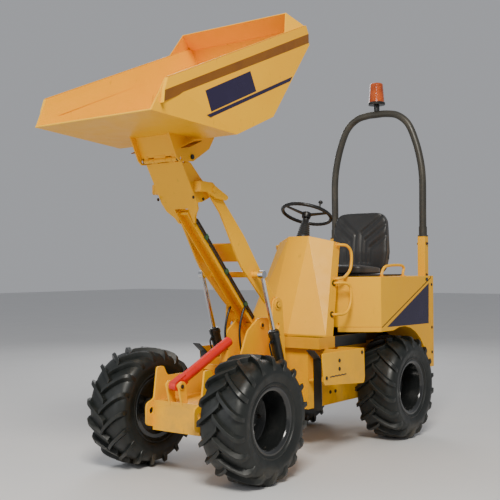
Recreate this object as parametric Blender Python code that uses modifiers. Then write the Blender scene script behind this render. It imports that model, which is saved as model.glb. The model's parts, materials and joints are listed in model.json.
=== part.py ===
"""One-tonne high-tip site dumper: articulated chassis, raised skip, roll bar.

Metres, +Z up. The machine faces -Y and its left side is +X. Shapes are laid out in the
machine's frame: x = 0 on its centre plane, y = 0 midway between the axles, z = 0 on the
ground. An empty then moves that frame so that the origin lies under the middle of the box
that holds the whole machine.
"""
import math

import bmesh
import bpy
from mathutils import Matrix, Vector

# Fits
GAP = 0.0003           # between pieces that rest on each other
PIN_PLAY = 0.0005      # between a pin and its hole, in radius

# Wheels and axles
WHEELBASE = 1.546
TRACK = 0.790
WHEEL_R = 0.330
TYRE_W = 0.273
BEAD_R = 0.158
AXLE_R = 0.045
WHEEL_STEPS = 20

# Lift linkage, in side view (y, z)
ARM_PIVOT = Vector((-0.243, 0.892))
HEAD_PIVOT = Vector((-0.820, 1.521))
LINK_PIVOT = Vector((-0.270, 0.772))
EYE_ALONG = 0.274      # lift cylinder eye, along the arm and below its line
EYE_BELOW = 0.0373
ARM_X = 0.143          # inner face of an arm plate
ARM_T = 0.012
ARM_PIN_R = 0.016
LINK_HALF = 0.040
LINK_T = 0.006
LINK_PIN_R = 0.011

# Lift cylinders
RAM_X = 0.217
RAM_BASE = Vector((-0.250, 0.450))
RAM_BARREL_R = 0.030
RAM_BARREL_L = 0.313
RAM_ROD_R = 0.0125
RAM_STROKE_SPARE = 0.045

# Skip and its hinge
SKIP_HINGE = Vector((-1.041, 1.669))
SKIP_TILT = math.radians(23)
SKIP_RISE = 2.386      # height of the rim's plane above the origin, square to it
SKIP_LIP = (-0.703, -0.113)  # front edge, along the rim and square to it
SKIP_HALF = 0.430
PANEL_HALF = 0.415
SKIP_WALL = 0.006
KNUCKLE_R = 0.013
HINGE_PIN_R = 0.008

# Tip cylinder
TIP_BASE = Vector((-0.856, 1.491))
TIP_PIN = Vector((-0.955, 1.683))
TIP_BARREL_R = 0.022
TIP_BARREL_L = 0.135
TIP_ROD_R = 0.011

# Frames
PIVOT_Y = -0.080       # articulation axis
PIVOT_PIN_R = 0.020
FRAME_T = 0.012
FRONT_X = 0.161        # inner face of a front side plate
TOWER_X = 0.066        # inner face of an inner tower plate
REAR_X = 0.188         # inner face of a rear side plate
REAR_END = 1.2147
CHASSIS_TOP = 0.620

# Rear body, cover and seat
BODY_HALF = 0.450
BODY_BACK = 1.235
BAY_HALF = 0.225
ARCH_R = 0.390
COVER_TOP = 1.045
COVER_WALL = 0.012
SEAM_FRONT = Vector((0.500, 0.730))
SEAM_BACK = Vector((1.190, 1.030))
LID_T = 0.012          # the seat's lid, over the cowl's top opening
LID_FRONT, LID_BACK = 0.570, 1.180
LID_HALF = 0.240

# Console
HOOD_WALL = 0.008
PLATE_TOP = 0.689      # top of the footplate
HANDLE_R = 0.009

# Roll bar
POST_X = 0.360
POST_TOP = 1.320
HOOP_R = 0.025
HOOP_TOP = 2.220
HOOP_Y = BODY_BACK + GAP + 0.030
BEACON_TOP = 2.450
BEACON_R = 0.062

# Steering wheel
COLUMN_TILT = math.radians(22)
STEER_CENTRE = Vector((0, 0.330, 1.450))
STEER_R = 0.170

# Safety prop
PROP_PIN = Vector((-0.940, 0.487))
PROP_TIP = Vector((-0.485, 0.690))
PROP_R = 0.028

# Furthest points along Y, which set where the origin lies
FRONT_REACH = (math.cos(SKIP_TILT) * SKIP_LIP[0]
               - math.sin(SKIP_TILT) * (SKIP_LIP[1] + SKIP_RISE))
REAR_REACH = HOOP_Y + BEACON_R

YELLOW = (0.87, 0.46, 0.0, 1)
BLACK = (0.012, 0.013, 0.012, 1)
PURPLE = (0.03, 0.016, 0.075, 1)
RED = (0.68, 0.015, 0.01, 1)
STEEL = (0.55, 0.55, 0.55, 1)
GREY = (0.055, 0.05, 0.045, 1)
AMBER = (0.75, 0.12, 0.01, 1)


# ---------------------------------------------------------------- scene and materials

def clear_scene():
    for thing in list(bpy.data.objects):
        bpy.data.objects.remove(thing, do_unlink=True)


def new_collection(name, hidden=False):
    group = bpy.data.collections.new(name)
    group.hide_render = hidden
    bpy.context.scene.collection.children.link(group)
    return group


def paint(name, colour, roughness, metallic=0.0):
    material = bpy.data.materials.new(name)
    material.use_nodes = True
    shader = material.node_tree.nodes["Principled BSDF"]
    shader.inputs["Base Color"].default_value = colour
    shader.inputs["Roughness"].default_value = roughness
    shader.inputs["Metallic"].default_value = metallic
    return material


clear_scene()
PARTS = new_collection("site_dumper")
HELPERS = new_collection("cutters", hidden=True)
PAINTS = {
    "yellow": paint("yellow_paint", YELLOW, 0.35),
    "black": paint("black_paint", BLACK, 0.40),
    "tyre": paint("tyre_rubber", BLACK, 0.85),
    "red": paint("red_paint", RED, 0.40),
    "chrome": paint("chrome_rod", STEEL, 0.12, 1.0),
    "steel": paint("plain_steel", GREY, 0.50, 0.6),
    "grey": paint("roll_bar_paint", GREY, 0.45),
    "vinyl": paint("seat_vinyl", BLACK, 0.55),
    "lens": paint("beacon_lens", AMBER, 0.15),
}
MACHINE = bpy.data.objects.new("machine", None)
MACHINE.location.y = -(FRONT_REACH + REAR_REACH) / 2
bpy.context.scene.collection.objects.link(MACHINE)


def pivot(name, x=0.0, y=0.0, z=0.0):
    """An empty on a joint's axis; what moves with that joint has it as parent."""
    empty = bpy.data.objects.new(name + "_axis", None)
    empty.location = (x, y, z)
    empty.parent = MACHINE
    bpy.context.scene.collection.objects.link(empty)
    return empty


# ---------------------------------------------------------------- shapes

def solid(bm, matrix=None):
    """A mesh of the bmesh, with its faces pointing out."""
    if matrix:
        bm.transform(matrix)
    bmesh.ops.recalc_face_normals(bm, faces=bm.faces)
    if bm.calc_volume(signed=True) < 0:
        bmesh.ops.reverse_faces(bm, faces=bm.faces)
    mesh = bpy.data.meshes.new("solid")
    bm.to_mesh(mesh)
    bm.free()
    return mesh


def box(x, y, z):
    """A box between three pairs of coordinates."""
    low = Vector((min(x), min(y), min(z)))
    high = Vector((max(x), max(y), max(z)))
    bm = bmesh.new()
    bmesh.ops.create_cube(bm, size=1)
    place = Matrix.Translation((low + high) / 2) @ Matrix.Diagonal((*(high - low), 1))
    return solid(bm, place)


def rod(start, end, radius, sides=16, end_radius=None):
    """A cylinder, or a cone, between two points."""
    start, end = Vector(start), Vector(end)
    way = end - start
    bm = bmesh.new()
    bmesh.ops.create_cone(
        bm, cap_ends=True, segments=sides, radius1=radius,
        radius2=end_radius or radius, depth=way.length,
    )
    turn = way.to_track_quat("Z", "Y").to_matrix().to_4x4()
    return solid(bm, Matrix.Translation((start + end) / 2) @ turn)


def across(point, x_from, x_to, radius, sides=16):
    """A cylinder along X through a point of the side view."""
    return rod((x_from, *point), (x_to, *point), radius, sides)


def hull(points):
    """The convex solid round some points."""
    bm = bmesh.new()
    verts = [bm.verts.new(point) for point in points]
    made = bmesh.ops.convex_hull(bm, input=verts)
    spare = {item for item in made["geom_interior"] + made["geom_unused"]
             if isinstance(item, bmesh.types.BMVert)}
    bmesh.ops.delete(bm, geom=list(spare), context="VERTS")
    return solid(bm)


def both(points):
    """The points and their mirror images on the other side of the machine."""
    return [(side * x, y, z) for x, y, z in points for side in (1, -1)]


def rounded(corners, step=math.radians(30)):
    """The outline through (a, b) or (a, b, radius) corners, each radius made an arc."""
    points = [Vector(corner[:2]) for corner in corners]
    outline = []
    for index, corner in enumerate(corners):
        here = points[index]
        if len(corner) < 3 or not corner[2]:
            outline.append(here)
            continue
        back = (points[index - 1] - here).normalized()
        ahead = (points[(index + 1) % len(points)] - here).normalized()
        half = back.angle(ahead) / 2
        centre = here + (back + ahead).normalized() * corner[2] / math.sin(half)
        first = here + back * corner[2] / math.tan(half) - centre
        last = here + ahead * corner[2] / math.tan(half) - centre
        turn = first.angle_signed(last)
        parts = max(1, round(abs(turn) / step))
        for part in range(parts + 1):
            angle = -turn * part / parts
            outline.append(centre + Matrix.Rotation(angle, 2) @ first)
    return outline


def circle(centre, clear_radius, sides=16):
    """A round hole as a polygon whose flats lie at the radius."""
    radius = clear_radius / math.cos(math.pi / sides)
    turns = [2 * math.pi * (side + 0.5) / sides for side in range(sides)]
    return [Vector((centre[0] + radius * math.cos(turn), centre[1] + radius * math.sin(turn)))
            for turn in turns]


SIDE_VIEW = Matrix(((0, 0, 1, 0), (1, 0, 0, 0), (0, 1, 0, 0), (0, 0, 0, 1)))


def flat(outline, thickness, holes=(), place=Matrix.Identity(4)):
    """A flat outline with holes, given a thickness from z = 0 up, then placed."""
    curve = bpy.data.curves.new("outline", "CURVE")
    curve.dimensions = "2D"
    curve.fill_mode = "BOTH"
    curve.extrude = thickness / 2
    for ring in [outline, *holes]:
        spline = curve.splines.new("POLY")
        spline.points.add(len(ring) - 1)
        for point, corner in zip(spline.points, ring):
            point.co = (corner[0], corner[1], 0, 1)
        spline.use_cyclic_u = True
    guide = bpy.data.objects.new("outline", curve)
    HELPERS.objects.link(guide)
    seen = guide.evaluated_get(bpy.context.evaluated_depsgraph_get())
    bm = bmesh.new()
    bm.from_mesh(bpy.data.meshes.new_from_object(seen))
    bpy.data.objects.remove(guide)
    bmesh.ops.remove_doubles(bm, verts=bm.verts, dist=1e-5)
    return solid(bm, place @ Matrix.Translation((0, 0, thickness / 2)))


def plate(corners, x_from, x_to, holes=()):
    """A plate across X with an outline of (y, z) corners and round (y, z, radius) holes."""
    rings = [circle(hole[:2], hole[2]) for hole in holes]
    low, high = min(x_from, x_to), max(x_from, x_to)
    place = Matrix.Translation((low, 0, 0)) @ SIDE_VIEW
    return flat(rounded(corners), high - low, rings, place)


def tube(points, radius, smooth=4, sides=1):
    """A round bar bent along a smooth path."""
    curve = bpy.data.curves.new("path", "CURVE")
    curve.dimensions = "3D"
    curve.bevel_depth = radius
    curve.bevel_resolution = sides
    curve.use_fill_caps = True
    path = [Vector(point) for point in points]
    if smooth > 1:
        path = spread(path, smooth)
    spline = curve.splines.new("POLY")
    spline.points.add(len(path) - 1)
    for place, point in zip(spline.points, path):
        place.co = (*point, 1)
    guide = bpy.data.objects.new("path", curve)
    HELPERS.objects.link(guide)
    seen = guide.evaluated_get(bpy.context.evaluated_depsgraph_get())
    bm = bmesh.new()
    bm.from_mesh(bpy.data.meshes.new_from_object(seen))
    bpy.data.objects.remove(guide)
    bmesh.ops.remove_doubles(bm, verts=bm.verts, dist=1e-5)
    return solid(bm)


def spread(path, steps):
    """Points along a Catmull-Rom curve through the path."""
    ends = [2 * path[0] - path[1], *path, 2 * path[-1] - path[-2]]
    points = []
    for a, b, c, d in zip(ends, ends[1:], ends[2:], ends[3:]):
        for step in range(steps):
            t = step / steps
            points.append(0.5 * (2 * b + (c - a) * t + (2 * a - 5 * b + 4 * c - d) * t * t
                                 + (3 * b - a - 3 * c + d) * t ** 3))
    return points + [path[-1]]


def carve(target, cutter):
    """Cuts a helper solid with another, and gives the result as a mesh."""
    pair = [bpy.data.objects.new("carved", mesh) for mesh in (target, cutter)]
    for helper in pair:
        HELPERS.objects.link(helper)
    cut = pair[0].modifiers.new("carve", "BOOLEAN")
    cut.operation = "DIFFERENCE"
    cut.object = pair[1]
    seen = pair[0].evaluated_get(bpy.context.evaluated_depsgraph_get())
    mesh = bpy.data.meshes.new_from_object(seen)
    for helper in pair:
        bpy.data.objects.remove(helper)
    return mesh


def piece(name, colour, mesh, hollow=(), add=(), cut=(), axis=None, smooth=False):
    """A named part: a solid hollowed first, then joined with others, then cut."""
    part = bpy.data.objects.new(name, mesh)
    mesh.name = name
    mesh.materials.clear()
    mesh.materials.append(PAINTS[colour])
    PARTS.objects.link(part)
    jobs = [(other, "DIFFERENCE") for other in hollow]
    jobs += [(other, "UNION") for other in add]
    jobs += [(other, "DIFFERENCE") for other in cut]
    for index, (other, job) in enumerate(jobs):
        helper = bpy.data.objects.new(f"{name}_{job.lower()}_{index}", other)
        helper.hide_render = True
        helper.display_type = "WIRE"
        HELPERS.objects.link(helper)
        join = part.modifiers.new(helper.name, "BOOLEAN")
        join.operation = job
        join.solver = "EXACT"
        join.object = helper
        helper.parent = axis or MACHINE
        helper.location = -axis.location if axis else Vector()
    part.parent = axis or MACHINE
    part.location = -axis.location if axis else Vector()
    if smooth:
        mesh.shade_smooth()
        mesh.set_sharp_from_angle(angle=math.radians(35))
    return part


SIDES = {"left": 1, "right": -1}


# ---------------------------------------------------------------- wheels

def turned(name, colour, profile, centre, outward, axis):
    """A profile of (radius, height) turned about an axle, its height pointing outward."""
    grow = 1 / math.cos(math.pi / WHEEL_STEPS)
    mesh = bpy.data.meshes.new(name)
    first = math.pi / WHEEL_STEPS     # so that a flat, not an edge, meets the ground
    verts = [(radius * grow * math.cos(first), radius * grow * math.sin(first), height)
             for radius, height in profile]
    ring = profile[0][0] > 0
    edges = [(i, (i + 1) % len(verts)) for i in range(len(verts) - (0 if ring else 1))]
    mesh.from_pydata(verts, edges, [])
    mesh.materials.append(PAINTS[colour])
    part = bpy.data.objects.new(name, mesh)
    PARTS.objects.link(part)
    screw = part.modifiers.new("turn", "SCREW")
    screw.steps = screw.render_steps = WHEEL_STEPS
    screw.use_merge_vertices = True
    screw.merge_threshold = 1e-5
    part.parent = axis
    part.location = Vector(centre) - axis.location
    part.rotation_euler.y = outward * math.pi / 2
    return part


def tyre_profile():
    half = TYRE_W / 2
    upper = [(BEAD_R, 0.105), (0.178, 0.1055), (0.200, 0.125), (0.240, half),
             (0.290, half - 0.0025), (WHEEL_R, 0.100)]
    return upper + [(r, -h) for r, h in reversed(upper)]


def rim_profile():
    """From the hub cap out over the dish and the flanges to the back of the disc."""
    barrel = BEAD_R - GAP
    flange = 0.105 + 3 * GAP
    edge = flange + 0.0117
    return [(0, 0), (0.045, -0.005), (0.055, -0.035), (barrel - 0.009, -0.035),
            (barrel - 0.009, edge), (0.176, edge), (0.176, flange), (barrel, flange),
            (barrel, -flange), (0.176, -flange), (0.176, -edge), (barrel - 0.009, -edge),
            (barrel - 0.009, -0.045), (0, -0.045)]


def wheels():
    for end, y in (("front", -WHEELBASE / 2), ("rear", WHEELBASE / 2)):
        for side, way in SIDES.items():
            name = f"{end}_{side}"
            centre = (way * TRACK / 2, y, WHEEL_R)
            axis = pivot(name + "_wheel", *centre)
            turned(name + "_tyre", "tyre", tyre_profile(), centre, way, axis)
            turned(name + "_rim", "black", rim_profile(), centre, way, axis)
        reach = TRACK / 2 - 0.045 - PIN_PLAY
        beam = rod((-reach, y, WHEEL_R), (reach, y, WHEEL_R), AXLE_R, 16)
        case = box((-0.07, 0.07), (y - 0.07, y + 0.07), (WHEEL_R - 0.06, WHEEL_R + 0.05))
        piece(end + "_axle", "steel", beam, add=[case] if end == "rear" else [],
              axis=FRONT if end == "front" else None)


# ---------------------------------------------------------------- lift linkage

ARM = (HEAD_PIVOT - ARM_PIVOT).normalized()
ARM_LENGTH = (HEAD_PIVOT - ARM_PIVOT).length
DOWN = Vector((ARM.y * -1, ARM.x))
CARRIER_PIVOT = HEAD_PIVOT + LINK_PIVOT - ARM_PIVOT


def along(start, distance, below, radius=None):
    """A corner in side view, measured along the raised arms and below their line."""
    place = start + ARM * distance + DOWN * below
    return (place.x, place.y, radius) if radius is not None else place


def on_arm(corners):
    return [along(ARM_PIVOT, *corner) for corner in corners]


def lift_arms():
    hole = ARM_PIN_R + PIN_PLAY
    end = ARM_LENGTH
    outline = on_arm([(-0.042, 0.042, 0.038), (0.084, 0.063, 0.05), (0.37, 0.086, 0.08),
                      (0.43, 0.079, 0.05), (0.60, 0.045, 0.08), (0.712, 0.025, 0),
                      (end + 0.040, 0.030, 0.030), (end + 0.040, -0.040, 0.038),
                      (0.715, -0.041, 0), (0.485, -0.049, 0.2), (0.27, -0.032, 0.2),
                      (0.062, -0.030, 0.02), (-0.042, -0.042, 0.040)])
    holes = [(*ARM_PIVOT, hole), (*HEAD_PIVOT, hole)]
    outer = ARM_X + ARM_T
    plates = [plate(outline, way * ARM_X, way * outer, holes) for way in SIDES.values()]
    eye = along(ARM_PIVOT, EYE_ALONG, EYE_BELOW)
    tie = plate(on_arm([(0.37, 0.025, 0), (0.50, 0.025, 0), (0.50, 0.035, 0), (0.37, 0.035, 0)]),
                -ARM_X - 0.004, ARM_X + 0.004)
    bar = across(eye, -0.200, 0.200, 0.017)
    piece("lift_arms", "yellow", plates[0], add=[tie, bar, plates[1]],
          axis=pivot("lift_arms", 0, *ARM_PIVOT))


def levelling_link():
    """An inverted channel, open below, between the towers and the skip carrier."""
    end = ARM_LENGTH + 0.022
    hole = LINK_PIN_R + PIN_PLAY
    outline = [along(LINK_PIVOT, *corner) for corner in (
        (-0.022, 0.029, 0.015), (end, 0.029, 0.015), (end, -0.015, 0.013), (-0.022, -0.015, 0.013))]
    inside = [along(LINK_PIVOT, *corner) for corner in (
        (-0.1, 0.1), (end + 0.1, 0.1), (end + 0.1, -0.009), (-0.1, -0.009))]
    inner = LINK_HALF - LINK_T
    piece("levelling_link", "yellow",
          plate(outline, -LINK_HALF, LINK_HALF, [(*LINK_PIVOT, hole), (*CARRIER_PIVOT, hole)]),
          cut=[plate(inside, -inner, inner)], axis=pivot("levelling_link", 0, *LINK_PIVOT))


def lift_cylinders():
    eye = along(ARM_PIVOT, EYE_ALONG, EYE_BELOW)
    way = (eye - RAM_BASE).normalized()

    def at(distance, x):
        place = RAM_BASE + way * distance
        return (x, place.x, place.y)

    pivot_axis = pivot("lift_barrels", 0, *RAM_BASE)
    for side, hand in SIDES.items():
        x = hand * RAM_X
        barrel = rod(at(0.0, x), at(RAM_BARREL_L, x), RAM_BARREL_R, 24)
        base = across(RAM_BASE, x - 0.028, x + 0.028, RAM_BARREL_R, 24)
        bore = rod(at(0.035, x), at(RAM_BARREL_L + 0.05, x), RAM_ROD_R + PIN_PLAY)
        hole = across(RAM_BASE, x - 0.1, x + 0.1, 0.012 + PIN_PLAY)
        piece(side + "_lift_barrel", "black", barrel, add=[base], cut=[bore, hole],
              axis=pivot_axis)
        length = (eye - RAM_BASE).length
        inner_end = RAM_BARREL_L - RAM_STROKE_SPARE
        shaft = rod(at(inner_end, x), at(length, x), RAM_ROD_R)
        boss = across(eye, hand * 0.2005, hand * 0.2335, 0.022)
        piece(side + "_lift_rod", "chrome", shaft, add=[boss], axis=pivot_axis)


# ---------------------------------------------------------------- skip carrier and tip cylinder

PLATE_START = Vector((-1.018, 1.647))
PLATE_END = Vector((-0.839, 1.346))
PLATE_WAY = (PLATE_END - PLATE_START).normalized()
PLATE_BACK = Vector((-PLATE_WAY.y, PLATE_WAY.x))
PLATE_T = 0.010
CARRIER_X = 0.112
KNUCKLES = {"skip": ((-0.113, -0.082), (-0.039, 0.039), (0.082, 0.113)),
            "carrier": ((-0.080, -0.041), (0.041, 0.080))}


def on_plate(down, back, radius=None):
    """A corner in side view, measured down the carrier's front plate and behind its face."""
    place = PLATE_START + PLATE_WAY * down + PLATE_BACK * back
    return (place.x, place.y, radius) if radius is not None else place


def skip_carrier():
    widths = [(-0.010, 0.124), (0.2245, 0.124), (0.272, 0.111), (0.314, 0.072), (0.350, 0.058)]
    notch = [(0.350, 0.046), (0.262, 0.046)]
    right = [(half, down) for down, half in widths + notch]
    outline = right + [(-x, down) for x, down in reversed(right)]
    frame = Matrix.Identity(4)
    frame.col[1] = (0, PLATE_WAY.x, PLATE_WAY.y, 0)
    frame.col[2] = (0, PLATE_BACK.x, PLATE_BACK.y, 0)
    frame.col[3] = (0, PLATE_START.x, PLATE_START.y, 1)
    front = flat([Vector(point) for point in outline], PLATE_T, place=frame)
    side = [(-1.008, 1.640, 0), (-0.985, 1.662, 0.01), (-0.950, 1.655, 0.01), (-0.871, 1.582, 0.02),
            (-0.838, 1.556, 0.02), (-0.785, 1.556, 0.033), (-0.785, 1.486, 0.033),
            (-0.860, 1.455, 0.02), (-0.896, 1.449, 0)]
    ear = [(-0.925, 1.505, 0.008), (-0.925, 1.560, 0.008), (-0.840, 1.556, 0.03),
           (-0.690, 1.487, 0.01), (-0.715, 1.468, 0.01), (-0.800, 1.475, 0.03), (-0.869, 1.505, 0.02)]
    lug = [on_plate(0.262, 0.002, 0), on_plate(0.335, 0.002, 0), on_plate(0.322, 0.0433, 0.020),
           on_plate(0.275, 0.0433, 0.020)]
    added = []
    for way in SIDES.values():
        added.append(plate(side, way * CARRIER_X, way * (CARRIER_X + FRAME_T)))
        added.append(box((way * 0.118, way * 0.167), (-0.925, -0.878), (1.505, 1.560)))
        added.append(plate(ear, way * FRONT_X, way * (FRONT_X + FRAME_T)))
        added.append(across(HEAD_PIVOT, way * 0.118, way * 0.178, ARM_PIN_R))
        added.append(plate(lug, way * 0.046, way * 0.056))
    added.append(across(CARRIER_PIVOT, -0.056, 0.056, LINK_PIN_R))
    added.append(across(TIP_BASE, -0.118, 0.118, 0.010))
    added.append(across(SKIP_HINGE, -0.113, 0.113, HINGE_PIN_R))
    for low, high in KNUCKLES["carrier"]:
        added.append(across(SKIP_HINGE, low, high, KNUCKLE_R))
        web = [on_plate(-0.031, -0.002, 0), on_plate(-0.031, 0.0035, 0), on_plate(0.010, 0.008, 0),
               on_plate(0.010, 0.002, 0)]
        added.append(plate(web, low, high))
    piece("skip_carrier", "yellow", front, add=added, axis=CARRIER)


def tip_cylinder():
    way = (TIP_PIN - TIP_BASE).normalized()
    length = (TIP_PIN - TIP_BASE).length

    def at(distance):
        place = TIP_BASE + way * distance
        return (0, place.x, place.y)

    base = across(TIP_BASE, -0.0205, 0.0205, TIP_BARREL_R + 0.002, 24)
    piece("tip_barrel", "black", rod(at(0.002), at(TIP_BARREL_L), TIP_BARREL_R), add=[base],
          cut=[rod(at(0.018), at(TIP_BARREL_L + 0.05), TIP_ROD_R + PIN_PLAY),
               across(TIP_BASE, -0.05, 0.05, 0.010 + PIN_PLAY)], axis=CARRIER)
    piece("tip_rod", "chrome", rod(at(0.058), at(length), TIP_ROD_R),
          add=[across(TIP_PIN, -0.0215, 0.0215, 0.018)],
          axis=pivot("tip_rod", 0, *TIP_PIN))


# ---------------------------------------------------------------- skip

def in_skip(u, w):
    """A side-view point given along the skip's rim and square to it."""
    turn, height = SKIP_TILT, w + SKIP_RISE
    return (u * math.cos(turn) - height * math.sin(turn),
            u * math.sin(turn) + height * math.cos(turn))


def skip_hull(sections):
    """The convex solid through (half width, u, w) corners on both sides."""
    return hull(both([(half, *in_skip(u, w)) for half, u, w in sections]))


def headboard():
    """The plate that leans in over the rim's back edge, with a cheek at each end."""
    low, top = -0.012, 0.096
    half, back = SKIP_HALF - 0.0005, 0.6685
    lean_x = (half - 0.378) / (top - low)
    lean_u = (back - 0.576) / (top - low)
    outer = skip_hull([(half, back, low), (half, 0.440, low), (0.378, 0.576, top)])
    hollow = []
    for w in (-0.05, 0.16):
        x, u = half - lean_x * (w - low) - 0.0056, back - lean_u * (w - low) - 0.0066
        hollow += [(x, u, w), (x, 0.2, w)]
    return carve(outer, skip_hull(hollow))


def skip():
    wall = SKIP_WALL
    lip_half = 0.400
    taper = (PANEL_HALF - lip_half) / (-0.572 - SKIP_LIP[0])
    side = PANEL_HALF - wall
    nose = side - taper * 0.228     # the hollow's half width where u = -0.80
    outer = [(PANEL_HALF, -0.572, 0), (PANEL_HALF, 0.669, 0), (PANEL_HALF, 0.683, -0.11),
             (PANEL_HALF, 0.179, -0.39), (PANEL_HALF, -0.162, -0.388), (lip_half, *SKIP_LIP)]
    inner = [(nose, -0.80, 0.05), (nose, -0.80, -0.0565), (side, -0.572, 0.05),
             (side, 0.669 - wall, 0.05), (side, -0.572, -0.045), (side, 0.683 - wall, -0.107),
             (side, 0.177, -0.39 + wall), (side, -0.160, -0.388 + wall)]
    band = [(PANEL_HALF - 0.004, -0.570, 0), (SKIP_HALF, -0.570, 0), (SKIP_HALF, -0.612, -0.048),
            (0.4105, -0.640, -0.098), (0.405, -0.640, -0.098), (PANEL_HALF - 0.004, 0.668, 0),
            (SKIP_HALF, 0.668, 0), (SKIP_HALF, 0.6735, -0.048), (PANEL_HALF, 0.679, -0.098),
            (PANEL_HALF - 0.004, 0.679, -0.098)]
    added = [hull([(way * half, *in_skip(u, w)) for half, u, w in band])
             for way in SIDES.values()]
    added.append(headboard())
    hinge_u, hinge_w = -0.306, -0.443
    lug = [(-0.345, -0.291), (-0.335, -0.430), (-0.318, -0.458), (-0.22, -0.488), (-0.07, -0.467),
           (0.0, -0.42), (0.03, -0.387), (-0.162, -0.385)]
    for way in SIDES.values():
        added.append(plate([in_skip(*corner) for corner in lug], way * 0.130, way * 0.138))
    throat = [(hinge_u - 0.009, -0.309), (hinge_u - 0.003, -0.312), (hinge_u + 0.003, -0.425),
              (hinge_u - 0.003, -0.425)]
    added.append(plate([in_skip(*corner) for corner in throat], -0.134, 0.134))
    ram_lug = [(-0.28, -0.325), (-0.16, -0.385), (-0.195, -0.480), (-0.2215, -0.4837),
               (-0.248, -0.478)]
    for way in SIDES.values():
        added.append(plate([in_skip(*corner) for corner in ram_lug], way * 0.022, way * 0.030))
        added.append(across(TIP_PIN, way * 0.026, way * 0.040, 0.012))
    for low, high in KNUCKLES["skip"]:
        added.append(across(SKIP_HINGE, low, high, KNUCKLE_R))
        web = [(hinge_u - 0.005, -0.416), (hinge_u + 0.005, -0.416), (hinge_u + 0.005, hinge_w),
               (hinge_u - 0.005, hinge_w)]
        added.append(plate([in_skip(*corner) for corner in web], low, high))
    piece("skip", "yellow", skip_hull(outer), hollow=[skip_hull(inner)], add=added,
          cut=[across(SKIP_HINGE, -0.2, 0.2, HINGE_PIN_R + PIN_PLAY)], axis=SKIP)


# ---------------------------------------------------------------- frames

def front_chassis():
    """Side plates with tower fingers, inner towers for the link, nose, forks and pins."""
    y = -WHEELBASE / 2
    x, outer = FRONT_X, FRONT_X + FRAME_T
    back = -0.168
    side = [(-0.985, 0.270, 0.02), (-0.985, 0.385, 0.03), (-0.925, 0.405, 0.02),
            (-0.900, 0.574, 0.015), (-0.850, 0.574, 0.015), (-0.820, 0.520, 0.03),
            (-0.600, 0.520, 0.03), (-0.540, 0.575, 0.03), (-0.310, 0.585, 0.02),
            (-0.286, 0.932, 0.040), (-0.198, 0.932, 0.040), (back, 0.600, 0), (back, 0.250, 0),
            (-0.900, 0.250, 0)]
    holes = [(y, WHEEL_R, AXLE_R + GAP), (-0.243, 0.770, 0.018), (-0.945, 0.344, 0.018)]
    tower = [(-0.300, 0.815, 0.03), (-0.404, 0.746, 0.03), (-0.464, 0.626, 0.03),
             (-0.490, 0.440, 0), (-0.172, 0.440, 0), (-0.200, 0.815, 0.03)]
    sheets = [box((-x - 0.004, x + 0.004), (-0.935, -0.923), (0.240, 0.400)),
              box((-x - 0.004, x + 0.004), (-0.930, -0.500), (0.385, 0.395)),
              box((-x - 0.004, x + 0.004), (-0.930, back), (0.252, 0.262)),
              box((-x - 0.004, x + 0.004), (-0.180, back), (0.256, 0.570)),
              box((-x - 0.004, x + 0.004), (-0.496, -0.170), (0.450, 0.462)),
              box((-x - 0.004, x + 0.004), (-0.520, -0.500), (0.525, 0.555)),
              box((-0.025, 0.025), (-0.520, -0.500), (0.540, prop_seat(-0.510)))]
    fork = rounded([(-0.05, back - 0.006, 0), (0.05, back - 0.006, 0),
                    (0.05, PIVOT_Y + 0.05, 0.049), (-0.05, PIVOT_Y + 0.05, 0.049)])
    for z in (0.285, 0.500):
        sheets.append(flat(fork, 0.015, place=Matrix.Translation((0, 0, z))))
    sheets.append(rod((0, PIVOT_Y, 0.270), (0, PIVOT_Y, 0.530), PIVOT_PIN_R))
    lug = [(-0.934, 0.380, 0), (-0.890, 0.380, 0), (-0.910, 0.512, 0.02), (-0.968, 0.512, 0.024)]
    for way in SIDES.values():
        sheets += [plate(tower, way * TOWER_X, way * (TOWER_X + FRAME_T)),
                   plate(lug, way * 0.036, way * 0.048),
                   across(ARM_PIVOT, way * (ARM_X - 0.002), way * (outer + 0.012), ARM_PIN_R),
                   across(RAM_BASE, way * (x + 0.004), way * 0.2505, 0.012)]
    sheets += [across(LINK_PIVOT, -TOWER_X - 0.006, TOWER_X + 0.006, LINK_PIN_R),
               across(PROP_PIN, -0.048, 0.048, 0.012),
               plate(side, -x, -outer, holes)]
    piece("front_chassis", "yellow", plate(side, x, outer, holes), add=sheets, axis=FRONT)


def prop_seat(y):
    """The height of the prop's underside over a place on the machine's centre plane."""
    way = (PROP_TIP - PROP_PIN).normalized()
    return PROP_PIN.y + (y - PROP_PIN.x) * way.y / way.x - PROP_R / way.x - 0.0045


def safety_prop():
    way = (PROP_TIP - PROP_PIN).normalized()
    side = Vector((-way.y, way.x))
    tongue = []
    for distance, rise, radius in ((-0.026, -0.026, 0.025), (0.08, -0.026, 0), (0.08, 0.026, 0),
                                   (-0.026, 0.026, 0.025)):
        place = PROP_PIN + way * distance + side * rise
        tongue.append((place.x, place.y, radius))
    start, end = PROP_PIN + way * 0.05, PROP_TIP
    piece("safety_prop", "red", plate(tongue, -0.022, 0.022, [(*PROP_PIN, 0.012 + PIN_PLAY)]),
          add=[rod((0, *start), (0, *end), PROP_R, 16)],
          axis=pivot("safety_prop", 0, *PROP_PIN))


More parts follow.
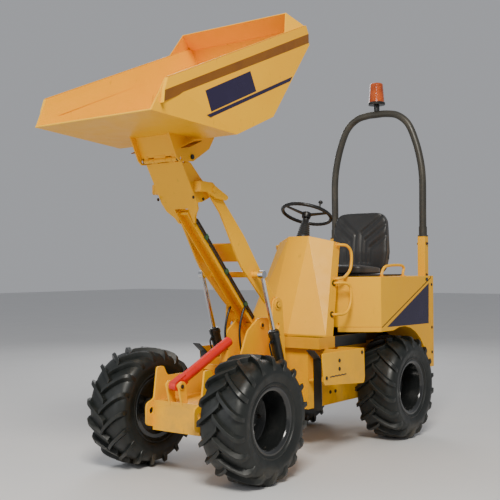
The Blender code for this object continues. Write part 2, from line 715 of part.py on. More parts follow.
def rear_chassis():
    """A trough of side plates and a floor, with the articulation boss at its front."""
    outer, y = REAR_X + FRAME_T, WHEELBASE / 2
    low, front = 0.255, 0.030
    shell = box((-outer, outer), (front, REAR_END), (low, CHASSIS_TOP))
    inside = box((-REAR_X, REAR_X), (front + FRAME_T, REAR_END - FRAME_T),
                 (low + 0.010, CHASSIS_TOP + 0.1))
    boss = rod((0, PIVOT_Y, 0.301), (0, PIVOT_Y, 0.499), 0.045, 24)
    web = box((-0.030, 0.030), (PIVOT_Y + 0.01, front + 0.004), (0.307, 0.493))
    rails = [box((-REAR_X - 0.004, REAR_X + 0.004), (at, at + 0.06), (0.400, 0.4497))
             for at in (0.620, 0.960)]
    ties = [box((-0.445, 0.445), (at, at + 0.03), (0.585, 0.6197)) for at in (0.060, 0.215)]
    piece("rear_chassis", "yellow", shell, hollow=[inside], add=[boss, web, *rails, *ties],
          cut=[rod((0, PIVOT_Y, 0.2), (0, PIVOT_Y, 0.6), PIVOT_PIN_R + PIN_PLAY),
               across((y, WHEEL_R), -0.3, 0.3, AXLE_R + 2 * GAP, 16)])
    block = box((-0.180, 0.180), (0.600, 1.050), (0.450, 0.900))
    piece("engine_block", "black", block)


# ---------------------------------------------------------------- bodywork

def front_corners(half, chamfer_y, front_y, front_half, z):
    """A cutter prism that takes one front corner off the body, seen from above."""
    far = half + 0.5
    slope = (chamfer_y - front_y) / (half - front_half)
    corner = [(front_half - 0.2, front_y - 0.2 * slope), (far, front_y + (far - front_half) * slope),
              (far, front_y - 0.5), (front_half - 0.2, front_y - 0.5)]
    return hull([(x, y, height) for x, y in corner for height in z])


def chamfers():
    cuts = []
    for way in SIDES.values():
        mesh = front_corners(BODY_HALF, 0.486, 0.330, 0.230, (0.2, 1.5))
        if way < 0:
            mesh.transform(Matrix.Diagonal((-1, 1, 1, 1)))
            mesh.flip_normals()
        cuts.append(mesh)
    return cuts


def arch(y, bottom_front, bottom_back):
    """Points of the wheel arch, from its back edge over the wheel to its front edge."""
    start = math.asin((bottom_back - WHEEL_R) / ARCH_R)
    end = math.pi - math.asin((bottom_front - WHEEL_R) / ARCH_R)
    steps = 8
    return [(y + ARCH_R * math.cos(start + (end - start) * step / steps),
             WHEEL_R + ARCH_R * math.sin(start + (end - start) * step / steps))
            for step in range(steps + 1)]


def rear_body():
    behind = SEAM_BACK.x + GAP
    outline = [(0.330, 0.700), (0.330, SEAM_FRONT.y - GAP), (SEAM_FRONT.x, SEAM_FRONT.y - GAP),
               (behind, SEAM_BACK.y - GAP), (behind, COVER_TOP), (BODY_BACK, COVER_TOP),
               (BODY_BACK, 0.420)]
    outline += arch(WHEELBASE / 2, 0.700, 0.420)
    bay = box((-BAY_HALF, BAY_HALF), (0.2, REAR_END + GAP), (0.2, 1.2))
    piece("rear_body", "yellow", plate(outline, -BODY_HALF, BODY_HALF),
          hollow=[bay], cut=chamfers())


def cover_outline(inset):
    """The side view of the cover above the diagonal seam, or of its hollow."""
    drop = 0.2 if inset else 0
    slope = (SEAM_BACK.y - SEAM_FRONT.y) / (SEAM_BACK.x - SEAM_FRONT.x)
    back = SEAM_BACK.x - inset
    return [(0.330 + inset, SEAM_FRONT.y - drop), (SEAM_FRONT.x, SEAM_FRONT.y - drop),
            (back, SEAM_BACK.y - inset * slope - drop), (back, COVER_TOP - inset),
            (0.330 + inset, COVER_TOP - inset)]


def engine_cowl():
    """A shell above the diagonal seam, open below, with an opening under the seat's lid."""
    half = BODY_HALF - COVER_WALL
    hollow = plate(cover_outline(COVER_WALL), -half, half)
    for cutter, way in zip(chamfers(), SIDES.values()):
        cutter.transform(Matrix.Translation((-way * 0.010, 0.008, 0)))
        hollow = carve(hollow, cutter)
    top = box((-LID_HALF + 0.03, LID_HALF - 0.03), (LID_FRONT + 0.03, LID_BACK - 0.03),
              (COVER_TOP - 0.05, COVER_TOP + 0.05))
    piece("engine_cowl", "yellow", plate(cover_outline(0), -BODY_HALF, BODY_HALF),
          hollow=[*chamfers(), hollow, top])


def seat():
    low = COVER_TOP + GAP
    piece("seat_lid", "black", box((-LID_HALF, LID_HALF), (LID_FRONT, LID_BACK),
                                   (low, low + LID_T)), axis=LID)
    top = low + LID_T + GAP
    cushion = [(0.650, top, 0.01), (0.640, top + 0.065, 0.03), (0.960, top + 0.050, 0.02),
               (0.960, top, 0.01)]
    piece("seat_cushion", "vinyl", plate(cushion, -0.215, 0.215), axis=LID)
    back = both([(0.215, 0.9605, top), (0.215, 1.040, top),
                 (0.225, 0.972, top + 0.15), (0.225, 1.052, top + 0.15),
                 (0.185, 1.000, 1.470), (0.185, 1.065, 1.460), (0.150, 1.015, 1.492),
                 (0.150, 1.060, 1.490)])
    piece("seat_back", "vinyl", hull(back), axis=LID)


def console():
    """The hood over the controls, open towards the operator, and the column on it."""
    outer = [(0.075, -0.006, 0.706), (0.075, 0.234, 1.305), (0.208, 0.320, 1.270),
             (0.300, 0.074, 0.700), (0.210, 0.392, 1.260), (0.300, 0.155, 0.6893),
             (0.300, 0.074, 0.6893), (0.075, 0.000, 0.6893)]
    wall = HOOD_WALL
    inner = []
    for x, y, z in outer:
        low = z < 1
        inner.append((x - wall * (0.6 if x < 0.1 else 1.1), y + wall * (1.1 if x < 0.1 else 0.9)
                      - (0.01 if low else 0), z - (0.030 if low else wall * 1.2)))
    inner += [(x, y + 0.6, z) for x, y, z in inner]
    piece("console_hood", "yellow", hull(both(outer)), cut=[hull(both(inner))])
    normal = Vector((0, math.sin(COLUMN_TILT), math.cos(COLUMN_TILT)))
    face = Vector((0, 0.2848, 1)).normalized()
    foot = Vector((0, 0.283, 1.305 - 0.2848 * (0.283 - 0.234) + 0.0006))
    head = STEER_CENTRE - normal * 0.031
    points = ring(foot, face, 0.042) + ring(head, normal, 0.020)
    piece("steering_column", "black", hull(points))
    steering_wheel(normal)


def ring(centre, normal, radius, sides=16):
    flat_x = Vector((1, 0, 0))
    flat_y = normal.cross(flat_x)
    return [centre + radius * (flat_x * math.cos(turn) + flat_y * math.sin(turn))
            for turn in (2 * math.pi * side / sides for side in range(sides))]


def steering_wheel(normal):
    bm = bmesh.new()
    bmesh.ops.create_cone(bm, cap_ends=True, segments=16, radius1=0.030, radius2=0.026,
                          depth=0.040)
    tilt = normal.to_track_quat("Z", "X").to_matrix().to_4x4()
    hub = solid(bm, Matrix.Translation(STEER_CENTRE - normal * 0.010) @ tilt)
    rim = torus(STEER_CENTRE, normal, STEER_R - 0.012, 0.012)
    spokes = []
    for spoke in range(3):
        turn = math.radians(90 + 120 * spoke)
        out = ring_point(normal, turn)
        spokes.append(rod(STEER_CENTRE + out * 0.015 - normal * 0.004,
                          STEER_CENTRE + out * (STEER_R - 0.012), 0.008, 8))
    piece("steering_wheel", "black", rim, add=[hub, *spokes],
          axis=pivot("steering_wheel", *STEER_CENTRE))


def ring_point(normal, turn):
    flat_x = Vector((1, 0, 0))
    return flat_x * math.cos(turn) + normal.cross(flat_x) * math.sin(turn)


def torus(centre, normal, radius, thickness, around=24, section=8):
    """A closed ring swept round an axis."""
    bm = bmesh.new()
    loops = []
    for step in range(around):
        out = ring_point(normal, 2 * math.pi * step / around)
        loops.append([bm.verts.new(centre + out * (radius + thickness * math.cos(angle))
                                   + normal * thickness * math.sin(angle))
                      for angle in (2 * math.pi * side / section for side in range(section))])
    for here, ahead in zip(loops, loops[1:] + loops[:1]):
        for side in range(section):
            after = (side + 1) % section
            bm.faces.new((here[side], here[after], ahead[after], ahead[side]))
    return solid(bm)


def footplate():
    tray = box((-0.300, 0.300), (0.000, 0.560), (CHASSIS_TOP + GAP, PLATE_TOP))
    well = box((-0.290, 0.290), (0.165, 0.550), (CHASSIS_TOP + 0.020, PLATE_TOP + 0.1))
    piece("footplate", "black", tray, hollow=[well])


def steps_and_guards():
    """Each step hangs outboard of the chassis ties; the mud guard is on its front edge."""
    for side, way in SIDES.items():
        face = 0.4453
        outline = [(-0.209, 0.620, 0.01), (-0.190, 0.441, 0.02), (0.261, 0.408, 0.02),
                   (0.270, 0.450, 0), (0.263, 0.620, 0.01)]
        tread = box((way * 0.205, way * (face + 0.002)), (0.030, 0.250), (0.425, 0.437))
        piece(side + "_step", "black", plate(outline, way * face, way * (face + 0.008)),
              add=[tread])
        guard = [(-0.277, 0.645), (-0.205, 0.592), (-0.197, 0.300), (-0.203, 0.300),
                 (-0.210, 0.588), (-0.280, 0.641)]
        piece(side + "_guard", "black", plate(guard, way * 0.392, way * (face - GAP)))


def hood_side(z):
    """Half the hood's width at a height on its side faces."""
    return 0.300 - 0.0912 * (z - 0.700) / 0.565


def handles():
    clear = 0.0022
    for side, way in SIDES.items():
        top, low = hood_side(1.245), hood_side(1.036)
        upper = [(top + clear, 0.345, 1.245), (top + 0.030, 0.345, 1.248), (0.270, 0.380, 1.240),
                 (0.280, 0.412, 1.195), (0.282, 0.398, 1.100), (0.282, 0.330, 1.048),
                 (low + 0.028, 0.270, 1.036), (low + clear, 0.262, 1.036)]
        top, low = hood_side(1.008), hood_side(0.820)
        lower = [(top + clear, 0.245, 1.008), (top + 0.030, 0.245, 1.010), (0.315, 0.290, 1.008),
                 (0.325, 0.325, 0.975), (0.327, 0.315, 0.880), (0.325, 0.260, 0.826),
                 (low + 0.030, 0.180, 0.820), (low + clear, 0.172, 0.820)]
        for name, points in (("upper", upper), ("lower", lower)):
            points = [(way * x, y, z) for x, y, z in points]
            piece(f"{side}_hood_handle_{name}", "yellow", tube(points, HANDLE_R, 2))
        foot = COVER_TOP + 6 * GAP
        rail = [(0.590, foot), (0.590, 1.070), (0.625, 1.105), (0.700, 1.117), (0.850, 1.118),
                (0.892, 1.100), (0.880, 1.070), (0.880, foot)]
        rail = [(way * 0.400, y, z) for y, z in rail]
        piece(side + "_seat_rail", "yellow", tube(rail, HANDLE_R, 2))


def roll_bar():
    y = HOOP_Y
    for side, way in SIDES.items():
        piece(side + "_roll_post", "yellow",
              box((way * (POST_X - 0.028), way * (POST_X + 0.028)),
                  (BODY_BACK + GAP, BODY_BACK + 0.056), (0.950, POST_TOP)))
    bend = [(POST_X, POST_TOP + GAP), (POST_X, 1.50), (POST_X, 1.73), (0.343, 1.87), (0.305, 2.01),
            (0.250, 2.13), (0.170, 2.197), (0.080, HOOP_TOP - 0.002)]
    path = [(x, y, z) for x, z in bend] + [(0, y, HOOP_TOP)]
    path += [(-x, y, z) for x, z in reversed(bend)]
    axis = pivot("roll_hoop", 0, y + HOOP_R + 0.001, POST_TOP)
    piece("roll_hoop", "grey", tube(path, HOOP_R, 2, 2), axis=axis)
    foot = HOOP_TOP + HOOP_R
    stem = rod((0, y, foot + GAP), (0, y, foot + 0.045), 0.020)
    base = rod((0, y, foot + 0.040), (0, y, foot + 0.062), BEACON_R, 24)
    lens = rod((0, y, foot + 0.060), (0, y, BEACON_TOP), 0.056, 24, 0.044)
    piece("beacon", "lens", stem, add=[base, lens], axis=axis)


FRONT = pivot("articulation", 0, PIVOT_Y, 0)
CARRIER = pivot("skip_carrier", 0, *HEAD_PIVOT)
SKIP = pivot("skip", 0, *SKIP_HINGE)
LID = pivot("seat_lid", 0, LID_BACK + PIN_PLAY, COVER_TOP)

wheels()
front_chassis()
safety_prop()
lift_arms()
levelling_link()
lift_cylinders()
skip_carrier()
tip_cylinder()
skip()
rear_chassis()
rear_body()
engine_cowl()
seat()
console()
footplate()
steps_and_guards()
handles()
roll_bar()
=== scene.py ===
"""Looks of the site dumper: paint, rubber, tread, bolts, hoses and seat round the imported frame.

Metres, +Z up. The machine faces -Y and its left side is +X. Pivots come from the frame's
joints. at() takes machine coordinates, with x = 0 on the centre plane, y = 0 midway between
the axles and z = 0 on the ground. in_skip() takes places along the skip's rim and square to it.
"""
import json
import math

import bmesh
import bpy
from mathutils import Matrix, Vector


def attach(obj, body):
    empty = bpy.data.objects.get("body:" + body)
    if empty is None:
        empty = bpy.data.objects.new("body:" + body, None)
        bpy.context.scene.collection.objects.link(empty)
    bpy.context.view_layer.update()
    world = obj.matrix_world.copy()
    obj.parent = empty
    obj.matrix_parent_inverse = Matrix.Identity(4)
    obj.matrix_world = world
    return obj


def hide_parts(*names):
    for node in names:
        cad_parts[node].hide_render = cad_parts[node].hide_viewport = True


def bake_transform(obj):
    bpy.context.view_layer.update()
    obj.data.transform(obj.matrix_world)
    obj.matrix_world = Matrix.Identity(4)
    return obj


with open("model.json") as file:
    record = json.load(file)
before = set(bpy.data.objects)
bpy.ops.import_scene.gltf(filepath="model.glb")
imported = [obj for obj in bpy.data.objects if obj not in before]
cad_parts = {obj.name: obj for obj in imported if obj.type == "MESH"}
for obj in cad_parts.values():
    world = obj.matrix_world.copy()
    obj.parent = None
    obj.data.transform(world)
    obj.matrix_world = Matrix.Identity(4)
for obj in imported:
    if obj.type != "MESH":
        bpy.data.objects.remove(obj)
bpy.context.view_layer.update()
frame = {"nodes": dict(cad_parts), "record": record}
JOINTS = {joint["name"]: joint for joint in frame["record"]["behaviour"]["joints"]}


def joint_at(name):
    return Vector(JOINTS[name]["pos_m"])


FRONT_WHEEL = joint_at("front_left_wheel_spin")
REAR_WHEEL = joint_at("rear_left_wheel_spin")
SHIFT = (FRONT_WHEEL.y + REAR_WHEEL.y) / 2
SKIP_TILT = math.radians(23)
SKIP_RISE = 2.386
SIDES = {"left": 1, "right": -1}


def at(x, y, z):
    """A point given in machine coordinates."""
    return Vector((x, y + SHIFT, z))


# ---------------------------------------------------------------- materials

def put(node, values):
    """Sets inputs of a shader node by name."""
    for name, value in values.items():
        node.inputs[name].default_value = value


class Paint:
    """Builds a Principled material out of noise layers in object space."""

    def __init__(self, name, colour, roughness):
        self.material = bpy.data.materials.new(name)
        self.material.use_nodes = True
        self.nodes = self.material.node_tree.nodes
        self.links = self.material.node_tree.links
        self.shader = self.nodes["Principled BSDF"]
        put(self.shader, {"Coat Roughness": 0.12})
        self.place = self.nodes.new("ShaderNodeTexCoord").outputs["Object"]
        colour_node = self.nodes.new("ShaderNodeRGB")
        colour_node.outputs[0].default_value = (*colour, 1)
        self.colour = colour_node.outputs[0]
        self.rough = roughness
        self.bump = None

    def noise(self, scale, detail=4.0, stretch=None):
        noise = self.nodes.new("ShaderNodeTexNoise")
        put(noise, {"Scale": scale, "Detail": detail, "Roughness": 0.55})
        source = self.place
        if stretch:
            mapping = self.nodes.new("ShaderNodeMapping")
            put(mapping, {"Scale": stretch})
            self.links.new(self.place, mapping.inputs["Vector"])
            source = mapping.outputs["Vector"]
        self.links.new(source, noise.inputs["Vector"])
        return noise.outputs["Fac"]

    def ramp(self, value, low, high, to_low=0.0, to_high=1.0):
        node = self.nodes.new("ShaderNodeMapRange")
        put(node, {"From Min": low, "From Max": high, "To Min": to_low, "To Max": to_high})
        self.links.new(value, node.inputs["Value"])
        return node.outputs["Result"]

    def blend(self, mask, colour):
        mix = self.nodes.new("ShaderNodeMix")
        mix.data_type = "RGBA"
        self.links.new(mask, mix.inputs["Factor"])
        self.links.new(self.colour, mix.inputs["A"])
        mix.inputs["B"].default_value = (*colour, 1)
        self.colour = mix.outputs["Result"]
        return self

    def patches(self, colour, scale, low, high, amount, stretch=None):
        return self.blend(self.ramp(self.noise(scale, stretch=stretch), low, high, 0, amount),
                          colour)

    def edges(self, colour, low, high, amount):
        """Wear where the surface is convex."""
        pointy = self.nodes.new("ShaderNodeNewGeometry").outputs["Pointiness"]
        return self.blend(self.ramp(pointy, low, high, 0, amount), colour)

    def dust(self, colour, low, high, amount):
        """Dust that thickens towards the ground, broken up by noise."""
        axis = self.nodes.new("ShaderNodeSeparateXYZ")
        self.links.new(self.place, axis.inputs["Vector"])
        fade = self.ramp(axis.outputs["Z"], low, high, amount, 0)
        grain = self.ramp(self.noise(9, 6), 0.42, 0.60)
        both = self.nodes.new("ShaderNodeMath")
        both.operation = "MULTIPLY"
        self.links.new(fade, both.inputs[0])
        self.links.new(grain, both.inputs[1])
        return self.blend(both.outputs[0], colour)

    def relief(self, scale, strength, distance=0.001, detail=3.0, stretch=None):
        bump = self.nodes.new("ShaderNodeBump")
        put(bump, {"Strength": strength, "Distance": distance})
        self.links.new(self.noise(scale, detail, stretch=stretch), bump.inputs["Height"])
        if self.bump:
            self.links.new(self.bump, bump.inputs["Normal"])
        self.bump = bump.outputs["Normal"]
        return self

    def done(self, spread, scale):
        self.links.new(self.colour, self.shader.inputs["Base Color"])
        rough = self.ramp(self.noise(scale), 0.3, 0.7, self.rough - spread / 2,
                          self.rough + spread / 2)
        self.links.new(rough, self.shader.inputs["Roughness"])
        if self.bump:
            self.links.new(self.bump, self.shader.inputs["Normal"])
        return self.material


LOOKS = {}


def look(name, colour, roughness, patches, edges=None, dust=None, relief=(), spread=0.12,
         grain=14, **sockets):
    """Adds a look: patches of other colours, worn edges, dust, bumps and varied roughness."""
    paint = Paint(name + "_look", colour, roughness)
    put(paint.shader, {socket.replace("_", " "): value for socket, value in sockets.items()})
    for patch in patches:
        paint.patches(*patch)
    if edges:
        paint.edges(*edges)
    if dust:
        paint.dust(*dust)
    for bump in relief:
        paint.relief(*bump)
    LOOKS[name] = paint.done(spread, grain)


look("yellow_paint", (0.90, 0.435, 0.0), 0.42,
     [((0.80, 0.345, 0.0), 3.2, 0.45, 0.75, 0.35), ((0.92, 0.50, 0.0), 1.7, 0.50, 0.70, 0.30),
      ((0.30, 0.15, 0.03), 26, 0.66, 0.74, 0.30, (1, 1, 0.35))],
     edges=((0.45, 0.22, 0.03), 0.56, 0.66, 0.35), dust=((0.30, 0.20, 0.09), 0.25, 0.75, 0.35),
     relief=[(180, 0.10, 0.0006), (7, 0.10, 0.003)], spread=0.14, Coat_Weight=0.06,
     Specular_IOR_Level=0.3)
# Painted highlight: a lighter copy of the yellow paint, for the skip's lip bead and the front ends
# of its rim band.
look("painted_highlight_yellow", (0.95, 0.50, 0.0), 0.38, [((0.85, 0.45, 0.01), 5, 0.45, 0.75, 0.5)],
     relief=[(200, 0.08, 0.0004)], Coat_Weight=0.1)
# Painted shade: a dark copy of the yellow paint, for faces under the skip's rim band and under the
# skip's bottom.
look("painted_shade_yellow", (0.30, 0.105, 0.0), 0.45, [((0.22, 0.070, 0.004), 8, 0.45, 0.70, 0.6)],
     relief=[(200, 0.10, 0.0005)], spread=0.15)
look("black_paint", (0.008, 0.009, 0.008), 0.34, [((0.022, 0.021, 0.018), 12, 0.52, 0.72, 0.6)],
     edges=((0.05, 0.045, 0.04), 0.58, 0.68, 0.4), dust=((0.07, 0.06, 0.045), 0.10, 0.60, 0.25),
     relief=[(240, 0.12, 0.0005)], spread=0.18, Coat_Weight=0.15)
look("rim_gloss", (0.010, 0.011, 0.011), 0.20, [((0.035, 0.034, 0.030), 10, 0.55, 0.75, 0.5)],
     relief=[(200, 0.08, 0.0004)], Coat_Weight=0.5)
look("tyre_rubber", (0.006, 0.008, 0.007), 0.45, [((0.018, 0.020, 0.018), 14, 0.48, 0.72, 0.5)],
     edges=((0.06, 0.058, 0.050), 0.54, 0.62, 0.4), dust=((0.17, 0.14, 0.10), 0.0, 0.12, 0.5),
     relief=[(420, 0.30, 0.0006), (45, 0.15, 0.0012)], spread=0.2, grain=30)
look("lug_dust", (0.075, 0.070, 0.058), 0.75,
     [((0.020, 0.021, 0.020), 22, 0.50, 0.66, 0.7), ((0.16, 0.135, 0.10), 9, 0.52, 0.72, 0.5)],
     relief=[(350, 0.35, 0.0008)], spread=0.15, grain=30)
look("red_paint", (0.66, 0.016, 0.008), 0.36, [((0.38, 0.012, 0.006), 9, 0.50, 0.70, 0.5)],
     edges=((0.25, 0.05, 0.03), 0.56, 0.66, 0.5), relief=[(220, 0.12, 0.0005)], spread=0.15,
     Coat_Weight=0.2)
look("chrome_rod", (0.62, 0.63, 0.64), 0.10, [((0.45, 0.44, 0.42), 60, 0.55, 0.75, 0.4)],
     relief=[(300, 0.05, 0.0003, 3, (1, 1, 0.05))], spread=0.08, grain=60, Metallic=1)
look("plain_steel", (0.055, 0.048, 0.040), 0.55, [((0.13, 0.060, 0.028), 16, 0.52, 0.70, 0.6)],
     relief=[(90, 0.3, 0.001)], spread=0.2, Metallic=0.5)
look("roll_bar_paint", (0.043, 0.040, 0.032), 0.42,
     [((0.085, 0.075, 0.055), 11, 0.50, 0.72, 0.6)],
     edges=((0.16, 0.13, 0.09), 0.56, 0.66, 0.4), relief=[(260, 0.15, 0.0005)], spread=0.16,
     Metallic=0.2)
look("seat_vinyl", (0.013, 0.014, 0.015), 0.42, [((0.035, 0.036, 0.036), 8, 0.50, 0.72, 0.5)],
     relief=[(520, 0.45, 0.0008, 6), (24, 0.12, 0.002)], spread=0.14, Sheen_Weight=0.15)
look("beacon_lens", (0.60, 0.105, 0.012), 0.16, [((0.26, 0.035, 0.006), 18, 0.45, 0.70, 0.7)],
     relief=[(120, 0.08, 0.0005)], spread=0.08, Transmission_Weight=0.25)
look("grip", (0.006, 0.006, 0.006), 0.38, [((0.014, 0.014, 0.014), 20, 0.50, 0.72, 0.5)],
     relief=[(400, 0.15, 0.0004)], spread=0.1)
look("clamp_green", (0.030, 0.115, 0.050), 0.45, [((0.018, 0.055, 0.030), 40, 0.45, 0.70, 0.6)],
     relief=[(260, 0.15, 0.0004)], spread=0.15)
look("purple", (0.013, 0.007, 0.036), 0.30, [((0.022, 0.014, 0.055), 6, 0.50, 0.72, 0.5)],
     relief=[(200, 0.06, 0.0004)], spread=0.1, Coat_Weight=0.1)
look("seam", (0.010, 0.010, 0.010), 0.7, [((0.03, 0.03, 0.03), 30, 0.5, 0.7, 0.5)],
     relief=[(200, 0.2)])
look("floor", (0.66, 0.66, 0.66), 0.6, [((0.63, 0.63, 0.63), 1.5, 0.4, 0.7, 0.5)],
     spread=0.1, grain=3)


# ---------------------------------------------------------------- pieces

SLOTS = {part["node"]: part["material_slot"] for part in frame["record"]["subparts"]}


def add(name, data):
    """A new object of the scene that shows this data."""
    thing = bpy.data.objects.new(name, data)
    bpy.context.scene.collection.objects.link(thing)
    return thing


def piece(name, mesh, body, finish, smooth=30):
    """A new piece: a mesh in the row frame that rides on a body, with its look."""
    mesh.materials.clear()
    mesh.materials.append(LOOKS[finish])
    mesh.shade_smooth()
    mesh.set_sharp_from_angle(angle=math.radians(smooth))
    thing = add(name, mesh)
    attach(thing, body)
    return thing


# ---------------------------------------------------------------- mesh helpers

def made(bm, matrix=None):
    if matrix:
        bm.transform(matrix)
    bmesh.ops.recalc_face_normals(bm, faces=bm.faces)
    mesh = bpy.data.meshes.new("made")
    bm.to_mesh(mesh)
    bm.free()
    return mesh


def skin(bm, rings, closed=False):
    """Faces between rings of as many points each; a closed row of rings joins up."""
    sides = len(rings[0])
    for here, ahead in zip(rings, rings[1:] + (rings[:1] if closed else [])):
        for side in range(sides):
            after = (side + 1) % sides
            bm.faces.new((here[side], here[after], ahead[after], ahead[side]))


def merged(meshes):
    bm = bmesh.new()
    for mesh in meshes:
        bm.from_mesh(mesh)
    mesh = bpy.data.meshes.new("merged")
    bm.to_mesh(mesh)
    bm.free()
    return mesh


def rod(start, end, radius, sides=24, bevel=0.0015):
    start, end = Vector(start), Vector(end)
    way = end - start
    bm = bmesh.new()
    bmesh.ops.create_cone(bm, cap_ends=True, segments=sides, radius1=radius,
                          radius2=radius, depth=way.length)
    if bevel:
        rims = [edge for edge in bm.edges if abs(edge.verts[0].co.z - edge.verts[1].co.z) < 1e-7]
        bmesh.ops.bevel(bm, geom=rims, offset=bevel, segments=2, affect="EDGES")
    turn = way.to_track_quat("Z", "Y").to_matrix().to_4x4()
    return made(bm, Matrix.Translation((start + end) / 2) @ turn)


def box(low, high, bevel=0.002):
    low, high = Vector(low), Vector(high)
    bm = bmesh.new()
    size = high - low
    bmesh.ops.create_cube(bm, size=1)
    bm.transform(Matrix.Translation((low + high) / 2) @ Matrix.Diagonal((*size, 1)))
    if bevel:
        bmesh.ops.bevel(bm, geom=bm.edges, offset=bevel, segments=2, affect="EDGES")
    return made(bm)


def lathe(profile, steps, matrix):
    """A closed or axis-ended profile of (radius, height) turned about local Z."""
    bm = bmesh.new()
    closed = profile[0][0] > 0
    rings = []
    for radius, height in profile:
        if radius == 0:
            rings.append([bm.verts.new((0, 0, height))])
            continue
        rings.append([bm.verts.new((radius * math.cos(2 * math.pi * step / steps),
                                    radius * math.sin(2 * math.pi * step / steps), height))
                      for step in range(steps)])
    pairs = list(zip(rings, rings[1:])) + ([(rings[-1], rings[0])] if closed else [])
    for upper, lower in pairs:
        for step in range(steps):
            after = (step + 1) % steps
            corners = [upper[step % len(upper)], upper[after % len(upper)],
                       lower[after % len(lower)], lower[step % len(lower)]]
            bm.faces.new(list(dict.fromkeys(corners)))
    return made(bm, matrix)


def tube(points, radius, steps=6, sides=12):
    """A round bar swept along a smooth path, with caps."""
    path = [Vector(point) for point in points]
    ends = [2 * path[0] - path[1], *path, 2 * path[-1] - path[-2]]
    smooth = []
    for a, b, c, d in zip(ends, ends[1:], ends[2:], ends[3:]):
        for step in range(steps):
            t = step / steps
            smooth.append(0.5 * (2 * b + (c - a) * t + (2 * a - 5 * b + 4 * c - d) * t * t
                                 + (3 * b - a - 3 * c + d) * t ** 3))
    path = smooth + [path[-1]]
    bm = bmesh.new()
    rings = []
    normal = None
    for before, point, after in zip([path[0], *path], path, [*path[1:], path[-1]]):
        way = (after - before).normalized()
        if normal is None:
            normal = way.orthogonal().normalized()
        normal = (normal - way * normal.dot(way)).normalized()
        other = way.cross(normal)
        rings.append([bm.verts.new(point + radius * (normal * math.cos(turn)
                                                     + other * math.sin(turn)))
                      for turn in (2 * math.pi * side / sides for side in range(sides))])
    skin(bm, rings)
    bm.faces.new(rings[0])
    bm.faces.new(list(reversed(rings[-1])))
    return made(bm)


def hull(points):
    bm = bmesh.new()
    verts = [bm.verts.new(point) for point in points]
    result = bmesh.ops.convex_hull(bm, input=verts)
    spare = {item for item in result["geom_interior"] + result["geom_unused"]
             if isinstance(item, bmesh.types.BMVert)}
    bmesh.ops.delete(bm, geom=list(spare), context="VERTS")
    bmesh.ops.dissolve_limit(bm, angle_limit=math.radians(0.5), verts=bm.verts, edges=bm.edges)
    return made(bm)


def bolt(place, way, radius=0.009, height=0.007):
    """A hexagon head on a washer; way points out of the surface."""
    place, way = Vector(place), Vector(way).normalized()
    return [rod(place - way * 0.001, place + way * 0.0022, radius * 1.35, 20, bevel=0.0005),
            rod(place, place + way * height, radius, 6, bevel=0.0008)]


def outlined(corners, x_from, x_to, bevel=0.0015):
    """A plate across X through a side-view outline of (y, z) corners."""
    bm = bmesh.new()
    face = bm.faces.new([bm.verts.new((x_from, *corner)) for corner in corners])
    grown = bmesh.ops.extrude_face_region(bm, geom=[face])
    moved = [item for item in grown["geom"] if isinstance(item, bmesh.types.BMVert)]
    bmesh.ops.translate(bm, verts=moved, vec=(x_to - x_from, 0, 0))
    if bevel:
        bmesh.ops.bevel(bm, geom=bm.edges, offset=bevel, segments=2, affect="EDGES",
                        clamp_overlap=True)
    return made(bm)


def in_skip(u, w):
    """A side-view (y, z) point of the row frame, along the skip's rim and square to it."""
    turn, height = SKIP_TILT, w + SKIP_RISE
    return (u * math.cos(turn) - height * math.sin(turn) + SHIFT,
            u * math.sin(turn) + height * math.cos(turn))


# ---------------------------------------------------------------- CAD nodes with softened edges

# Starts of the names of nodes that new pieces stand for; the others keep their CAD shape.
REPLACED = ("front_left_", "front_right_", "rear_left_", "rear_right_", "seat_cushion",
            "seat_back", "roll_hoop", "beacon", "steering_", "left_hood_handle",
            "right_hood_handle", "left_seat_rail", "right_seat_rail")
ROUND_ANGLE = 30       # degrees between faces, below which an edge is shaded as a curve
# Nodes whose look isn't the record's material slot, and nodes whose shallow folds stay sharp.
FINISHES = {"left_step": "yellow_paint", "right_step": "yellow_paint"}
CRISP = {"console_hood": 14, "skip": 14, "engine_cowl": 14, "footplate": 14}


def soften(node, width, angle):
    """Shows a CAD node with its edges rounded: a copy of its mesh replaces it."""
    source = frame["nodes"][node]
    bm = bmesh.new()
    bm.from_mesh(source.data)
    bm.transform(source.matrix_world)
    bmesh.ops.remove_doubles(bm, verts=bm.verts, dist=1e-5)
    bmesh.ops.dissolve_limit(bm, angle_limit=math.radians(1), verts=bm.verts, edges=bm.edges)
    mesh = made(bm)
    body = next(name for name, nodes in frame["record"]["behaviour"]["bodies"].items()
                if node in nodes)
    thing = piece(node + "_finished", mesh, body, FINISHES.get(node, SLOTS[node]), angle)
    bevel = thing.modifiers.new("edges", "BEVEL")
    bevel.width = width
    bevel.segments = 2
    bevel.limit_method = "ANGLE"
    bevel.angle_limit = math.radians(angle)
    bevel.harden_normals = True
    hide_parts(node)


def carried_nodes():
    widths = {"skip": 0.0012, "console_hood": 0.004, "engine_cowl": 0.004, "rear_body": 0.003,
              "lift_arms": 0.0016, "front_chassis": 0.0014, "skip_carrier": 0.0014,
              "rear_chassis": 0.002, "engine_block": 0.006, "footplate": 0.003,
              "seat_lid": 0.002, "levelling_link": 0.001}
    for side in SIDES:
        widths[side + "_roll_post"] = 0.003
        widths[side + "_step"] = 0.0015
        widths[side + "_guard"] = 0.001
    for node in frame["nodes"]:
        if not node.startswith(REPLACED) and node not in widths:
            widths[node] = 0.0008
    for node, width in widths.items():
        soften(node, width, CRISP.get(node, ROUND_ANGLE))


# ---------------------------------------------------------------- wheels

